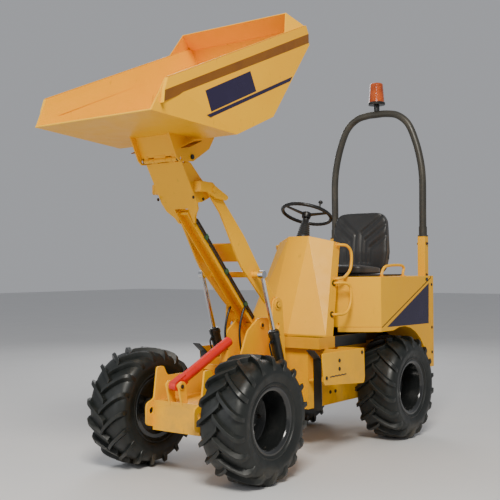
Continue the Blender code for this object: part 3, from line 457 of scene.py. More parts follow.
BEAD_R = 0.158
CARCASS = [(BEAD_R, 0.105), (0.164, 0.1125), (0.176, 0.1150), (0.184, 0.1190), (0.188, 0.1255),
           (0.193, 0.1258), (0.197, 0.1235), (0.206, 0.1290), (0.235, 0.1350), (0.246, 0.1362),
           (0.250, 0.1345), (0.266, 0.1325), (0.282, 0.1250), (0.296, 0.1100), (0.3030, 0.085),
           (0.3055, 0.045), (0.3060, 0)]
LUGS = 18
LUG_LINE = [(-0.016, 0.3290), (0.010, 0.3300), (0.045, 0.3300), (0.080, 0.3285), (0.108, 0.3240),
            (0.124, 0.3130), (0.1345, 0.2900), (0.1352, 0.2600)]
LUG_SWEEP = 0.36


def carcass_radius(height):
    """The outer radius of the plain tyre at a distance from its middle plane."""
    for (radius, place), (next_radius, next_place) in zip(CARCASS, CARCASS[1:]):
        if next_place <= height <= place and radius > 0.245:
            part = (place - height) / (place - next_place)
            return radius + (next_radius - radius) * part
    return CARCASS[-1][0]


def lug(bm, way, phase):
    """One bar of the tread, from past the middle to the shoulder and down the side wall."""
    rings = []
    reach = LUG_LINE[-2][0]
    for height, top in LUG_LINE:
        share = max(0, min(1, (height - LUG_LINE[0][0]) / (reach - LUG_LINE[0][0])))
        turn = phase + LUG_SWEEP * share ** 0.85
        foot = min(carcass_radius(max(height, 0)), top) - 0.006
        ring = []
        for radius, half in ((foot, -0.019), (top, -0.0115), (top, 0.0115), (foot, 0.019)):
            angle = turn + half / radius
            inset = 0.010 if radius == foot and height > 0.13 else 0
            ring.append(bm.verts.new((radius * math.cos(angle), radius * math.sin(angle),
                                      way * (height - inset))))
        rings.append(ring)
    for here, ahead in zip(rings, rings[1:]):
        for side in range(4):
            after = (side + 1) % 4
            face = bm.faces.new((here[side], here[after], ahead[after], ahead[side]))
            face.material_index = 1 if side == 1 else 0
    bm.faces.new(rings[0])
    bm.faces.new(list(reversed(rings[-1])))


def tyre(name, centre, way, body):
    turn = Matrix.Translation(centre) @ Matrix.Rotation(way * math.pi / 2, 4, "Y")
    profile = CARCASS + [(radius, -height) for radius, height in reversed(CARCASS[:-1])]
    bm = bmesh.new()
    bm.from_mesh(lathe(profile, 72, None))
    for side, shift in ((1, 0), (-1, math.pi / LUGS)):
        for index in range(LUGS):
            lug(bm, side, 2 * math.pi * index / LUGS + shift)
    thing = piece(name + "_tread", made(bm, turn), body, "tyre_rubber", 40)
    thing.data.materials.append(LOOKS["lug_dust"])
    bevel = thing.modifiers.new("edges", "BEVEL")
    bevel.width = 0.0022
    bevel.segments = 2
    bevel.limit_method = "ANGLE"
    bevel.angle_limit = math.radians(38)
    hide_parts(name + "_tyre")


RIM = [(0, 0.0), (0.026, 0.0), (0.034, -0.002), (0.038, -0.007), (0.040, -0.020), (0.044, -0.024),
       (0.056, -0.026), (0.060, -0.034), (0.098, -0.036), (0.108, -0.031), (0.126, -0.029),
       (0.136, -0.024), (0.1395, -0.012), (0.1410, 0.020), (0.1425, 0.024), (0.1425, 0.070),
       (0.1445, 0.074), (0.1460, 0.098), (0.1500, 0.1085), (0.158, 0.1150), (0.168, 0.1172),
       (0.1745, 0.1160), (0.1765, 0.1120), (0.1755, 0.1068), (0.1700, 0.1062), (0.1600, 0.1056),
       (0.1576, 0.1040), (0.1576, -0.1040), (0.1600, -0.1056), (0.1755, -0.1068),
       (0.1765, -0.1120), (0.1700, -0.1172), (0.1500, -0.1150), (0.1470, -0.100),
       (0.1470, -0.052), (0.130, -0.0446), (0, -0.0446)]
WHEEL_NUTS = 5
NUT_CIRCLE = 0.080


def rim(name, centre, way, body):
    turn = Matrix.Translation(centre) @ Matrix.Rotation(way * math.pi / 2, 4, "Y")
    thing = piece(name + "_dish", lathe(RIM, 96, turn), body, "rim_gloss", 40)
    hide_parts(name + "_rim")
    nuts = []
    for index in range(WHEEL_NUTS):
        angle = 2 * math.pi * (index + 0.25) / WHEEL_NUTS
        place = Vector((NUT_CIRCLE * math.cos(angle), NUT_CIRCLE * math.sin(angle), -0.0352))
        nuts += bolt(place, (0, 0, 1), 0.0105, 0.014)
        nuts.append(rod(place, place + Vector((0, 0, 0.021)), 0.0055, 16, bevel=0.001))
    nuts.append(rod((0.150, 0, 0.060), (0.136, 0, 0.072), 0.004, 12, bevel=0.0008))
    mesh = merged(nuts)
    mesh.transform(turn)
    piece(name + "_nuts", mesh, body, "plain_steel", 35)


def wheels():
    for end, hub in (("front", FRONT_WHEEL), ("rear", REAR_WHEEL)):
        for side, way in SIDES.items():
            name = f"{end}_{side}"
            centre = Vector((way * abs(hub.x), hub.y, hub.z))
            tyre(name, centre, way, name + "_wheel")
            rim(name, centre, way, name + "_wheel")


# ---------------------------------------------------------------- seat

SEAT_FOOT = 1.0582


def rounded_block(steps, power=7.0):
    """The surface of a cube from -1 to 1 as a fine grid, with its edges rounded."""
    bm = bmesh.new()
    bmesh.ops.create_cube(bm, size=2)
    bmesh.ops.subdivide_edges(bm, edges=bm.edges, cuts=steps, use_grid_fill=True)
    for vert in bm.verts:
        vert.co /= sum(abs(value) ** power for value in vert.co) ** (1 / power)
    return bm


def groove(value, levels, width):
    """1 in the middle of a sewn channel, falling to 0 beside it."""
    return max(math.exp(-((value - level) / width) ** 2) for level in levels)


def between(table, share):
    """A value from a table of (share, value) rows."""
    for (low, first), (high, last) in zip(table, table[1:]):
        if share <= high:
            return first + (last - first) * (share - low) / (high - low)
    return table[-1][1]


CHANNELS = (0.36, 0.62, 0.86)


def bent_channels(across, share):
    """Channels that rise beside the middle, then bend out and up to the sides."""
    deepest = 0
    for across_start, bend in ((0.10, 0.66), (0.27, 0.54), (0.44, 0.42)):
        past = across - across_start
        under = bend + 0.38 * past - share
        if 0.16 < share:
            deepest = max(deepest, math.exp(-(min(past, under) / 0.035) ** 2))
    return deepest


def seat_back():
    half = [(0, 0.205), (0.35, 0.222), (0.85, 0.206), (1, 0.186)]
    front = [(0, 0.966), (0.35, 0.976), (1, 1.012)]
    rear = [(0, 1.038), (0.35, 1.050), (1, 1.060)]
    foot, head = SEAT_FOOT + 0.002, 1.488
    bm = rounded_block(44)
    for vert in bm.verts:
        a, b, c = vert.co
        share = (c + 1) / 2
        sewn = bent_channels(abs(a), share) if b < -0.6 else 0
        fullness = (1 - a * a) * (1 - c * c)
        y_front = between(front, share) - 0.010 * fullness + 0.010 * sewn
        y_rear = between(rear, share)
        middle, depth = (y_front + y_rear) / 2, (y_rear - y_front) / 2
        vert.co = at(a * between(half, share), middle + b * depth,
                     foot + (head - foot) * share)
    return made(bm)


def seat_cushion():
    bm = rounded_block(44, 6)
    for vert in bm.verts:
        a, b, c = vert.co
        nested = math.hypot(a, 0.92 * max(0, 0.5 - 0.62 * b))
        sewn = groove(nested, CHANNELS, 0.045) if c > 0.6 else 0
        fullness = (1 - a * a) * (1 - b * b)
        top = SEAT_FOOT + 0.056 - 0.007 * b + 0.010 * fullness - 0.007 * sewn
        foot = SEAT_FOOT + 0.0004
        vert.co = at(a * (0.214 - 0.004 * fullness), 0.801 + 0.156 * b,
                     foot + (top - foot) * (c + 1) / 2)
    return made(bm)


def seat():
    for name, mesh in (("seat_cushion", seat_cushion()), ("seat_back", seat_back())):
        thing = piece(name + "_cover", mesh, "seat_lid", "seat_vinyl", 60)
        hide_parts(name)
    welt = []
    for share in range(25):
        angle = math.pi * share / 24
        x, z = 0.203 * math.cos(angle), 1.300 + 0.178 * math.sin(angle)
        welt.append(at(x, 1.036 + 0.035 * (z - 1.300), z))
    foot = [at(0.222, 1.018, 1.16), at(0.217, 1.026, 1.24)]
    path = foot + welt + [Vector((-point.x, point.y, point.z)) for point in reversed(foot)]
    piece("seat_back_welt", tube(path, 0.0032, 2, 8), "seat_lid", "seam", 60)


# ---------------------------------------------------------------- tubes and controls

HANDLE_R = 0.009
HOOP_R = 0.025


def hood_side(z):
    """Half the console hood's width at a height."""
    return 0.300 - 0.0912 * (z - 0.700) / 0.565


def mirrored(points, way):
    return [at(way * x, y, z) for x, y, z in points]


def handles():
    for side, way in SIDES.items():
        top, low = hood_side(1.245), hood_side(1.036)
        upper = [(top, 0.345, 1.245), (top + 0.030, 0.345, 1.248), (0.270, 0.380, 1.240),
                 (0.280, 0.412, 1.195), (0.282, 0.398, 1.100), (0.282, 0.330, 1.048),
                 (low + 0.028, 0.270, 1.036), (low, 0.262, 1.036)]
        top, low = hood_side(1.008), hood_side(0.820)
        lower = [(top, 0.245, 1.008), (top + 0.030, 0.245, 1.010), (0.315, 0.290, 1.008),
                 (0.325, 0.325, 0.975), (0.327, 0.315, 0.880), (0.325, 0.260, 0.826),
                 (low + 0.030, 0.180, 0.820), (low, 0.172, 0.820)]
        for level, points in (("upper", upper), ("lower", lower)):
            path = mirrored(points, way)
            bar = tube(path, HANDLE_R, 6, 20)
            name = f"{side}_hood_handle_{level}"
            thing = piece(name + "_bar", bar, "rear_frame", "yellow_paint", 60)
            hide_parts(name)
            feet = [rod(point, point + Vector((way * 0.006, 0, 0)), 0.019, 32)
                    for point in (path[0], path[-1])]
            piece(name + "_feet", merged(feet), "rear_frame",
                  "black_paint" if level == "lower" else "yellow_paint")
        rail = mirrored([(0.400, 0.590, 1.0453), (0.400, 0.590, 1.070), (0.400, 0.625, 1.105),
                         (0.400, 0.700, 1.117), (0.400, 0.850, 1.118), (0.400, 0.892, 1.100),
                         (0.400, 0.880, 1.070), (0.400, 0.880, 1.0453)], way)
        thing = piece(side + "_seat_rail_bar", tube(rail, HANDLE_R, 6, 20), "rear_frame",
                      "yellow_paint", 60)
        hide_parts(side + "_seat_rail")
        feet = [rod(point, point + Vector((0, 0, 0.005)), 0.020, 32)
                for point in (rail[0], rail[-1])]
        piece(side + "_seat_rail_feet", merged(feet), "rear_frame", "yellow_paint")


POST_X = 0.360
POST_TOP = 1.3203
HOOP_Y = 1.2653
HOOP_TOP = 2.220


def roll_bar():
    bend = [(POST_X, POST_TOP), (POST_X, 1.50), (POST_X, 1.73), (0.343, 1.87), (0.305, 2.01),
            (0.250, 2.13), (0.170, 2.197), (0.080, HOOP_TOP - 0.002)]
    path = [at(x, HOOP_Y, z) for x, z in bend] + [at(0, HOOP_Y, HOOP_TOP)]
    path += [at(-x, HOOP_Y, z) for x, z in reversed(bend)]
    thing = piece("roll_hoop_tube", tube(path, HOOP_R, 8, 32), "roll_bar", "roll_bar_paint", 60)
    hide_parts("roll_hoop")
    collars, latches = [], []
    for way in SIDES.values():
        x = way * POST_X
        collars.append(rod(at(x, HOOP_Y, POST_TOP), at(x, HOOP_Y, POST_TOP + 0.070), 0.0285, 32))
        collars.append(box(at(x - 0.0275, HOOP_Y - 0.0275, POST_TOP),
                           at(x + 0.0275, HOOP_Y + 0.0275, POST_TOP + 0.010), 0.002))
        latches.append(rod(at(x - 0.040, HOOP_Y - 0.006, POST_TOP - 0.050),
                           at(x + 0.040, HOOP_Y - 0.006, POST_TOP - 0.050), 0.009, 24))
        for z in (1.050, 0.985):
            latches += bolt(at(x + way * 0.028, HOOP_Y - 0.006, z), (way, 0, 0))
    piece("roll_hoop_collars", merged(collars), "roll_bar", "roll_bar_paint")
    piece("roll_post_pins", merged(latches), "rear_frame", "plain_steel")
    beacon(at(0, HOOP_Y, HOOP_TOP + HOOP_R))


def beacon(foot):
    """A ribbed amber lens on a black base and stem."""
    place = Matrix.Translation(foot)
    base = [(0, 0.001), (0.021, 0.001), (0.021, 0.038), (0.030, 0.042), (0.060, 0.044),
            (0.062, 0.047), (0.062, 0.060), (0.058, 0.064), (0, 0.064)]
    low, top = 0.0645, 0.204
    lens = [(0, low), (0.0565, low)]
    ribs = 11
    for rib in range(ribs):
        height = low + 0.004 + (top - low - 0.016) * rib / ribs
        step = (top - low - 0.016) / ribs
        radius = 0.0560 - 0.0095 * rib / ribs
        lens += [(radius, height + 0.1 * step), (radius - 0.0016, height + 0.35 * step),
                 (radius - 0.0016, height + 0.65 * step), (radius, height + 0.9 * step)]
    lens += [(0.0455, top - 0.009), (0.041, top - 0.003), (0.032, top), (0, top)]
    thing = piece("beacon_cover", lathe(lens, 64, place), "roll_bar", "beacon_lens", 50)
    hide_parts("beacon")
    piece("beacon_base", lathe(base, 64, place), "roll_bar", "black_paint", 35)


COLUMN_TILT = math.radians(22)
STEER_CENTRE = (0, 0.330, 1.450)
STEER_R = 0.158
GRIP_R = 0.012


def steering():
    centre = at(*STEER_CENTRE)
    normal = Vector((0, math.sin(COLUMN_TILT), math.cos(COLUMN_TILT)))
    place = Matrix.Translation(centre) @ normal.to_track_quat("Z", "X").to_matrix().to_4x4()
    bm = bmesh.new()
    around, section, waves = 144, 16, 36
    rings = []
    for step in range(around):
        turn = 2 * math.pi * step / around
        out = Vector((math.cos(turn), math.sin(turn), 0))
        grip = GRIP_R - 0.0009 * (1 + math.cos(waves * turn)) / 2
        rings.append([bm.verts.new(out * (STEER_R + grip * math.cos(angle))
                                   + Vector((0, 0, grip * math.sin(angle))))
                      for angle in (2 * math.pi * side / section for side in range(section))])
    skin(bm, rings, closed=True)
    parts = [made(bm)]
    hub = [(0, 0.012), (0.024, 0.011), (0.030, 0.006), (0.031, -0.004), (0.027, -0.028),
           (0, -0.030)]
    parts.append(lathe(hub, 48, Matrix.Identity(4)))
    for spoke in range(3):
        turn = Matrix.Rotation(math.radians(90 + 120 * spoke), 4, "Z")
        arm = hull([(x, y * wide, z) for x, wide, z in
                    ((0.020, 0.014, -0.001), (0.020, 0.014, -0.010), (0.150, 0.009, 0.003),
                     (0.150, 0.009, -0.004)) for y in (1, -1)])
        arm.transform(turn)
        parts.append(arm)
    knob = [(0, 0.052), (0.009, 0.051), (0.014, 0.046), (0.015, 0.040), (0.011, 0.034),
            (0.006, 0.030), (0.006, 0.006), (0, 0.006)]
    out = Vector((math.cos(math.radians(62)), math.sin(math.radians(62)), 0))
    parts.append(lathe(knob, 32, Matrix.Translation(out * STEER_R)))
    mesh = merged(parts)
    mesh.transform(place)
    thing = piece("steering_wheel_grip", mesh, "steering_wheel", "grip", 50)
    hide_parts("steering_wheel")
    boot = [(0, -0.031), (0.020, -0.031), (0.021, -0.036), (0.022, -0.060)]
    folds = 6
    for fold in range(folds):
        height = -0.062 - 0.014 * fold
        radius = 0.026 + 0.0022 * fold
        boot += [(radius + 0.004, height - 0.004), (radius, height - 0.011)]
    boot += [(0.044, -0.150), (0.044, -0.1665), (0, -0.1665)]
    foot_axis = (at(0, 0.283, 1.2912) - centre).normalized()
    turn = (-foot_axis).to_track_quat("Z", "X").to_matrix().to_4x4()
    thing = piece("steering_boot", lathe(boot, 48, Matrix.Translation(centre) @ turn),
                  "rear_frame", "seat_vinyl", 60)
    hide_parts("steering_column")


# ---------------------------------------------------------------- skip

PANEL_X = 0.415
SKIP_HALF = 0.430
FILM = 0.0007          # how far a coloured film stands off its panel
TIP_PIN = at(0, -0.955, 1.683)


def skip_side(corners, low, high, way, bevel=0.0):
    """A plate on a side of the skip, through corners along the rim and square to it."""
    return outlined([in_skip(*corner) for corner in corners], way * low, way * high, bevel)


def side_film(corners, face, way):
    """A thin coloured film on a flat side, through (y, z) corners of the machine."""
    moved = [(y + SHIFT, z) for y, z in corners]
    return outlined(moved, way * (face + 0.0001), way * (face + FILM), 0)


STRIPE = [(-0.352, -0.235), (0.440, -0.235), (0.410, -0.253), (-0.330, -0.253)]
NAME_PANEL = [(-1.176, 1.959), (-0.817, 2.116), (-0.767, 2.020), (-1.132, 1.863)]
# Corners of a thin film of painted shade over the sloping underside of the skip's rim band.
BAND_SHADE_SHEET = [(SKIP_HALF, -0.612, -0.0485), (SKIP_HALF, 0.6735, -0.0485),
                  (0.4152, 0.679, -0.0975), (0.4112, -0.640, -0.0975)]
RIM_STRIP = [(-0.565, 0.0002), (0.655, 0.0002), (0.655, 0.0035), (-0.565, 0.0035)]
UNDER_PAD = [(-0.300, -0.3905), (-0.190, -0.3905), (-0.190, -0.3945), (-0.300, -0.3945)]
# Outline of the rim band's front end, coloured with a painted highlight.
BAND_END = [(-0.568, 0.0), (-0.571, 0.0), (-0.614, -0.048), (-0.642, -0.098),
            (-0.638, -0.098), (-0.609, -0.047)]


def skip_pin_heads(way):
    """Ends of the hinge pin and of the tip cylinder's pin, as (x from, x to, radius, centre)."""
    hinge = joint_at("tip")
    ends = ((0.1128, 0.1200, 0.0125, hinge), (0.1370, 0.1450, 0.0130, TIP_PIN),
            (0.0398, 0.0425, 0.0135, TIP_PIN))
    return [rod((way * low, place.y, place.z), (way * high, place.y, place.z), radius, 24)
            for low, high, radius, place in ends]


def skip_trim():
    films, undersides, strips, pads, heads, ends = [], [], [], [], [], []
    for way in SIDES.values():
        films.append(skip_side(STRIPE, PANEL_X + 0.0001, PANEL_X + FILM, way))
        films.append(side_film(NAME_PANEL, PANEL_X, way))
        undersides.append(hull([(way * (x + lift), *in_skip(u, w))
                                for x, u, w in BAND_SHADE_SHEET for lift in (-0.0006, FILM)]))
        strips.append(skip_side(RIM_STRIP, PANEL_X - 0.003, PANEL_X + 0.014, way, 0.0012))
        pads.append(skip_side(UNDER_PAD, 0.150, 0.205, way, 0.001))
        heads += skip_pin_heads(way)
        ends.append(skip_side(BAND_END, PANEL_X - 0.004, PANEL_X + 0.0135, way))
    piece("skip_purple_film", merged(films), "skip", "purple", 20)
    # The film on each rim band's underside is painted shade.
    piece("skip_band_painted_shade", merged(undersides), "skip", "painted_shade_yellow", 20)
    piece("skip_rim_strips", merged(strips), "skip", "yellow_paint")
    # The pads under the skip are coloured with painted shade.
    piece("skip_under_pads", merged(pads), "skip", "painted_shade_yellow", 30)
    piece("skip_pin_heads", merged(heads), "skip", "black_paint")
    lip_y, lip_z = in_skip(-0.700, -0.112)
    bead = rod((-0.399, lip_y, lip_z), (0.399, lip_y, lip_z), 0.0045, 20)
    # The lip bead and the band ends are coloured with a painted highlight.
    piece("skip_lip_bead", bead, "skip", "painted_highlight_yellow", 60)
    piece("skip_band_ends", merged(ends), "skip", "painted_highlight_yellow", 30)


# ---------------------------------------------------------------- linkage

LINK_X = 0.0405


def linkage():
    lift, head = joint_at("lift"), joint_at("carrier_pivot")
    link, ram = joint_at("link_pivot"), joint_at("barrel_pivot")
    lower = link + (head - lift)
    pins = []
    for way in SIDES.values():
        pins += [("lift_arms", pin_head((way * 0.1552, head.y, head.z), way, 0.026)),
                 ("front_frame", pin_head((way * 0.1732, lift.y, lift.z), way, 0.030)),
                 ("front_frame", pin_head((way * 0.0785, link.y, link.z), way, 0.018)),
                 ("front_frame", pin_head((way * 0.2475, ram.y, ram.z), way, 0.022)),
                 ("front_frame", pin_head(at(way * 0.048, -0.940, 0.487), way, 0.019)),
                 ("skip_carrier", pin_head((way * 0.0402, lower.y, lower.z), way, 0.017))]
        for back, rise in ((0.030, -0.050), (0.110, -0.045)):
            place = (way * 0.124, head.y - back, head.z + rise)
            pins.append(("skip_carrier", (None, bolt(place, (way, 0, 0), 0.0065, 0.005))))
    for body in ("lift_arms", "front_frame", "skip_carrier"):
        mine = [parts for name, parts in pins if name == body]
        bosses = [boss for boss, ends in mine if boss]
        ends = [mesh for boss, group in mine for mesh in group]
        piece(body + "_bosses", merged(bosses), body, "yellow_paint")
        piece(body + "_pin_ends", merged(ends), body, "plain_steel")
    link_pipes(link, lower)
    tower_hoses(link)
    ram_details()


def pin_head(place, way, radius):
    """A painted boss round a pin, and the pin's own end with its grease nipple."""
    place = Vector(place)
    out = Vector((way, 0, 0))
    boss = hollow_ring(place - out * 0.001, out, radius, radius * 0.62, 0.006)
    end = rod(place - out * 0.001, place + out * 0.0085, radius * 0.60, 32)
    nipple = rod(place + out * 0.008, place + out * 0.0125, 0.0022, 12, bevel=0.0004)
    return boss, [end, nipple]


def link_pipes(start, end):
    """Steel pipes clamped along both sides of the levelling link."""
    way = (end - start).normalized()
    side = way.cross(Vector((1, 0, 0))).normalized()
    pipes, clamps = [], []
    length = (end - start).length
    for hand in SIDES.values():
        x = Vector((hand * (LINK_X + 0.0055), 0, 0))
        for lift in (-0.006, 0.008):
            first = start + way * 0.075 + side * lift + x
            last = start + way * (length - 0.070) + side * lift + x
            inward = Vector((-hand * 0.004, 0, 0))
            path = [first + inward - way * 0.010, first, first.lerp(last, 0.33),
                    first.lerp(last, 0.66), last, last + inward + way * 0.010]
            pipes.append(tube(path, 0.0045, 4, 14))
        for share in (0.20, 0.50, 0.80):
            place = start + way * (length * share) + side * 0.001
            block = box((-0.0065, -0.013, -0.014), (0.0065, 0.013, 0.014), 0.0015)
            turn = Matrix((way.cross(side), way, side)).transposed().to_4x4()
            block.transform(Matrix.Translation(place + x) @ turn)
            clamps.append(block)
    piece("link_pipes", merged(pipes), "levelling_link", "plain_steel", 60)
    piece("link_pipe_clamps", merged(clamps), "levelling_link", "clamp_green", 30)


def tower_hoses(link):
    """Two hoses from the chassis to the pipes on the link."""
    for index, way in enumerate(SIDES.values()):
        x = way * 0.052
        start = Vector((x, link.y - 0.120, 0.4635))
        end = Vector((x, link.y - 0.088, link.z + 0.092))
        path = [start, start + Vector((0, -0.004, 0.060)),
                Vector((x, link.y - 0.165, 0.640)), Vector((x, link.y - 0.178, 0.760)),
                end + Vector((0, -0.046, 0.012)), end]
        mesh = tube(path, 0.0065, 8, 16)
        mesh.materials.append(LOOKS["grip"])
        mesh.shade_smooth()
        hose = add(f"link_hose_{index}", mesh)
        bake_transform(hose)


def ram_details():
    """Gland nuts, ports and feed pipes on the lift cylinders."""
    base = joint_at("barrel_pivot")
    slide = Vector(JOINTS["lift_rod_slide"]["axis"]).normalized()
    if slide.z < 0:
        slide.negate()
    glands, ports = [], []
    for way in SIDES.values():
        foot = Vector((way * 0.217, base.y, base.z))
        end = foot + slide * 0.313
        glands.append(hollow_ring(end - slide * 0.030, slide, 0.0335, 0.0302, 0.026))
        glands.append(hollow_ring(end, slide, 0.027, 0.0135, 0.006))
        out = Vector((way, 0, 0))
        front = slide.cross(Vector((1, 0, 0))).normalized()
        if front.y > 0:
            front.negate()
        feed = []
        for distance in (0.055, 0.262):
            boss = foot + slide * distance
            ports.append(rod(boss + front * 0.027, boss + front * 0.042, 0.0095, 24))
            ports += bolt(boss + front * 0.040, front, 0.0085, 0.006)
            feed.append(boss + front * 0.048)
        path = [feed[1], feed[1] + front * 0.010 - slide * 0.004,
                feed[1] + front * 0.013 - slide * 0.030, feed[0] + front * 0.013 + slide * 0.060,
                feed[0] + front * 0.012 + slide * 0.025 + out * 0.010]
        ports.append(tube(path, 0.0048, 6, 14))
    piece("lift_barrel_glands", merged(glands), "lift_barrels", "black_paint")
    piece("lift_barrel_ports", merged(ports), "lift_barrels", "black_paint", 50)


def hollow_ring(place, axis, outer, inner, length):
    """A collar round a shaft, from place on along the axis."""
    edge = 0.001
    profile = [(inner, 0), (outer - edge, 0), (outer, edge), (outer, length - edge),
               (outer - edge, length), (inner, length)]
    turn = Vector(axis).to_track_quat("Z", "Y").to_matrix().to_4x4()
    return lathe(profile, 48, Matrix.Translation(place) @ turn)


# ---------------------------------------------------------------- body trim

BODY_X = 0.450
STEP_X = 0.4533
REAR_TRIANGLE = [(1.162, 0.995), (0.560, 0.727), (1.156, 0.720)]
SEAM_LINE = [(0.500, 0.7275), (1.190, 1.0275), (1.190, 1.0318), (0.500, 0.7318)]
BODY_BOLTS = ((1.205, 0.985), (1.205, 0.520), (1.205, 0.690))
STEP_BOLTS = ((-0.025, 0.568), (-0.025, 0.520), (-0.165, 0.480), (0.235, 0.595))


def side_bolts(face, places, way, radius=0.0085, height=0.006):
    """Bolt heads on a flat side, at (y, z) places of the machine."""
    return [part for y, z in places
            for part in bolt(at(way * face, y, z), (way, 0, 0), radius, height)]


def cowl_seam(way):
    """The rubber seam along the cowl's sloping edge and up behind it."""
    low, high = BODY_X - 0.002, BODY_X + 0.0012
    corners = [(y + SHIFT, z) for y, z in SEAM_LINE]
    return [outlined(corners, way * low, way * high, 0),
            box(at(way * low, 1.1885, 1.0275), at(way * high, 1.1925, 1.0453), 0)]


def toothed_slot(way):
    """The serrated slot in a step's face."""
    pitch = 0.018
    teeth = []
    for tooth in range(10):
        y, rise = -0.130 + pitch * tooth, 0.0025 * (tooth % 2)
        teeth.append(box(at(way * (STEP_X - 0.001), y, 0.478 + rise),
                         at(way * (STEP_X + 0.001), y + pitch - 0.0002, 0.485 + rise), 0))
    return teeth


def body_trim():
    films, seams, bolts, latches = [], [], [], []
    for way in SIDES.values():
        films.append(side_film(REAR_TRIANGLE, BODY_X, way))
        seams += cowl_seam(way)
        bolts += side_bolts(BODY_X, BODY_BOLTS, way, 0.0075, 0.005)
        latch = at(way * 0.4505, 1.130, 1.022)
        latches.append(box(latch - Vector((0.001, 0.016, 0.010)),
                           latch + Vector((0.004, 0.016, 0.010)), 0.002))
        bolts += side_bolts(STEP_X, STEP_BOLTS, way)
        latches += toothed_slot(way)
    piece("body_purple_film", merged(films), "rear_frame", "purple", 20)
    piece("cowl_seam", merged(seams), "rear_frame", "seam", 20)
    piece("body_bolts", merged(bolts), "rear_frame", "plain_steel")
    piece("body_latches", merged(latches), "rear_frame", "black_paint")
    footplate_skirt()
    roll_post_latches()
    grille()
    tread_plate()
    chassis_bolts()


def footplate_skirt():
    """Painted sheet round the front of the footplate's tray."""
    low, high = 0.6204, 0.6892
    sheets = [box(at(-0.300, -0.0022, low), at(0.300, -0.0006, high), 0.0004)]
    for way in SIDES.values():
        sheets.append(box(at(way * 0.3006, -0.0022, low), at(way * 0.3022, 0.172, high),
                          0.0004))
    piece("footplate_skirt", merged(sheets), "rear_frame", "yellow_paint")


def roll_post_latches():
    parts = []
    for way in SIDES.values():
        x = way * POST_X
        parts += [box(at(x - 0.018, 1.2915, 1.190), at(x + 0.018, 1.306, 1.315), 0.004),
                  box(at(x - 0.008, 1.305, 1.225), at(x + 0.008, 1.318, 1.300), 0.003)]
    piece("roll_post_latches", merged(parts), "rear_frame", "black_paint")


def grille():
    """A louvred air outlet in the back panel."""
    back = 1.2353
    frame_bars = [box(at(left, back, low), at(right, back + 0.004, high), 0.0015)
                  for left, right, low, high in
                  ((-0.205, 0.205, 0.520, 0.532), (-0.205, 0.205, 0.868, 0.880),
                   (-0.205, -0.193, 0.520, 0.880), (0.193, 0.205, 0.520, 0.880))]
    slats = []
    for index in range(16):
        z = 0.536 + index * 0.0208
        profile = [(back + SHIFT, z), (back + 0.0035 + SHIFT, z), (back + 0.001 + SHIFT, z + 0.014),
                   (back + SHIFT, z + 0.014)]
        slats.append(outlined(profile, -0.193, 0.193, 0.0005))
    corners = []
    for x in (-0.199, 0.199):
        for z in (0.526, 0.700, 0.874):
            corners += bolt(at(x, back + 0.0035, z), (0, 1, 0), 0.005, 0.003)
    piece("rear_grille", merged(frame_bars + slats + corners), "rear_frame", "black_paint")


def tread_plate():
    """Raised bars in alternating pairs on the footplate's floor."""
    bars = []
    pitch = 0.026
    for row in range(14):
        for column in range(21):
            centre = at(-0.260 + column * pitch, 0.185 + row * pitch, 0.6404)
            turn = Matrix.Rotation(math.radians(45 if (row + column) % 2 else -45), 4, "Z")
            bar = box((-0.009, -0.0022, -0.0004), (0.009, 0.0022, 0.0014), 0.0006)
            bar.transform(Matrix.Translation(centre) @ turn)
            bars.append(bar)
    piece("footplate_tread", merged(bars), "rear_frame", "black_paint")


FRONT_BOLTS = ((-0.880, 0.300), (-0.880, 0.360), (-0.670, 0.440), (-0.590, 0.440),
               (-0.440, 0.520), (-0.350, 0.520))
REAR_BOLTS = ((0.120, 0.560), (0.180, 0.560), (0.280, 0.330), (0.340, 0.330))


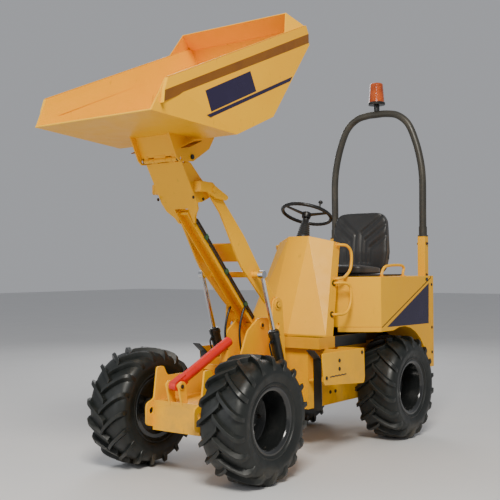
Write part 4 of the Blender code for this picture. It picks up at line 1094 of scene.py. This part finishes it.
def chassis_bolts():
    front, rear = [], []
    for way in SIDES.values():
        front += side_bolts(0.173, FRONT_BOLTS, way)
        rear += side_bolts(0.200, REAR_BOLTS, way)
    for end, up in ((0.530, 1), (0.270, -1)):
        place = at(0, -0.080, end)
        front.append(rod(place - Vector((0, 0, 0.001 * up)), place + Vector((0, 0, 0.008 * up)),
                         0.034, 32))
    piece("front_chassis_bolts", merged(front), "front_frame", "plain_steel")
    piece("rear_chassis_bolts", merged(rear), "rear_frame", "plain_steel")


# ---------------------------------------------------------------- studio

CAMERA = (3.1168, -4.2974, 1.1081)
AZIMUTH, ELEVATION, ROLL = (math.radians(angle) for angle in (37.085, -1.1425, -0.288))
LENS, SENSOR = 63.27, 36


def camera():
    ahead = Vector((-math.sin(AZIMUTH) * math.cos(ELEVATION),
                    math.cos(AZIMUTH) * math.cos(ELEVATION), -math.sin(ELEVATION)))
    level = Vector((math.cos(AZIMUTH), math.sin(AZIMUTH), 0))
    upright = level.cross(ahead)
    right = math.cos(ROLL) * level + math.sin(ROLL) * upright
    up = right.cross(ahead)
    data = bpy.data.cameras.new("camera")
    data.lens, data.sensor_width = LENS, SENSOR
    thing = add("camera", data)
    thing.matrix_world = (Matrix.Translation(CAMERA)
                          @ Matrix((right, up, -ahead)).transposed().to_4x4())
    bpy.context.scene.camera = thing


def light(name, place, target, size, power, colour=(1, 1, 1)):
    data = bpy.data.lights.new(name, "AREA")
    data.shape = "RECTANGLE"
    data.size, data.size_y = size
    data.energy = power
    data.color = colour
    thing = add(name, data)
    way = Vector(target) - Vector(place)
    thing.matrix_world = (Matrix.Translation(place)
                          @ way.to_track_quat("-Z", "Y").to_matrix().to_4x4())


def studio():
    bm = bmesh.new()
    bmesh.ops.create_grid(bm, x_segments=1, y_segments=1, size=30)
    floor = add("floor", made(bm))
    floor.data.materials.append(LOOKS["floor"])
    world = bpy.data.worlds.new("studio")
    world.use_nodes = True
    put(world.node_tree.nodes["Background"], {"Color": (0.93, 0.95, 1, 1), "Strength": 0.40})
    bpy.context.scene.world = world
    middle = (0, 0, 1.1)
    light("key", (3.4, -4.6, 6.0), middle, (2.2, 2.2), 660, (1, 0.96, 0.88))
    light("fill", (-2.5, -6.0, 2.5), middle, (4.0, 3.0), 70, (0.95, 0.97, 1))
    light("back", (-4.0, 5.0, 4.0), middle, (3.0, 3.0), 110)
    camera()


studio()
carried_nodes()
wheels()
seat()
handles()
roll_bar()
steering()
skip_trim()
linkage()
body_trim()
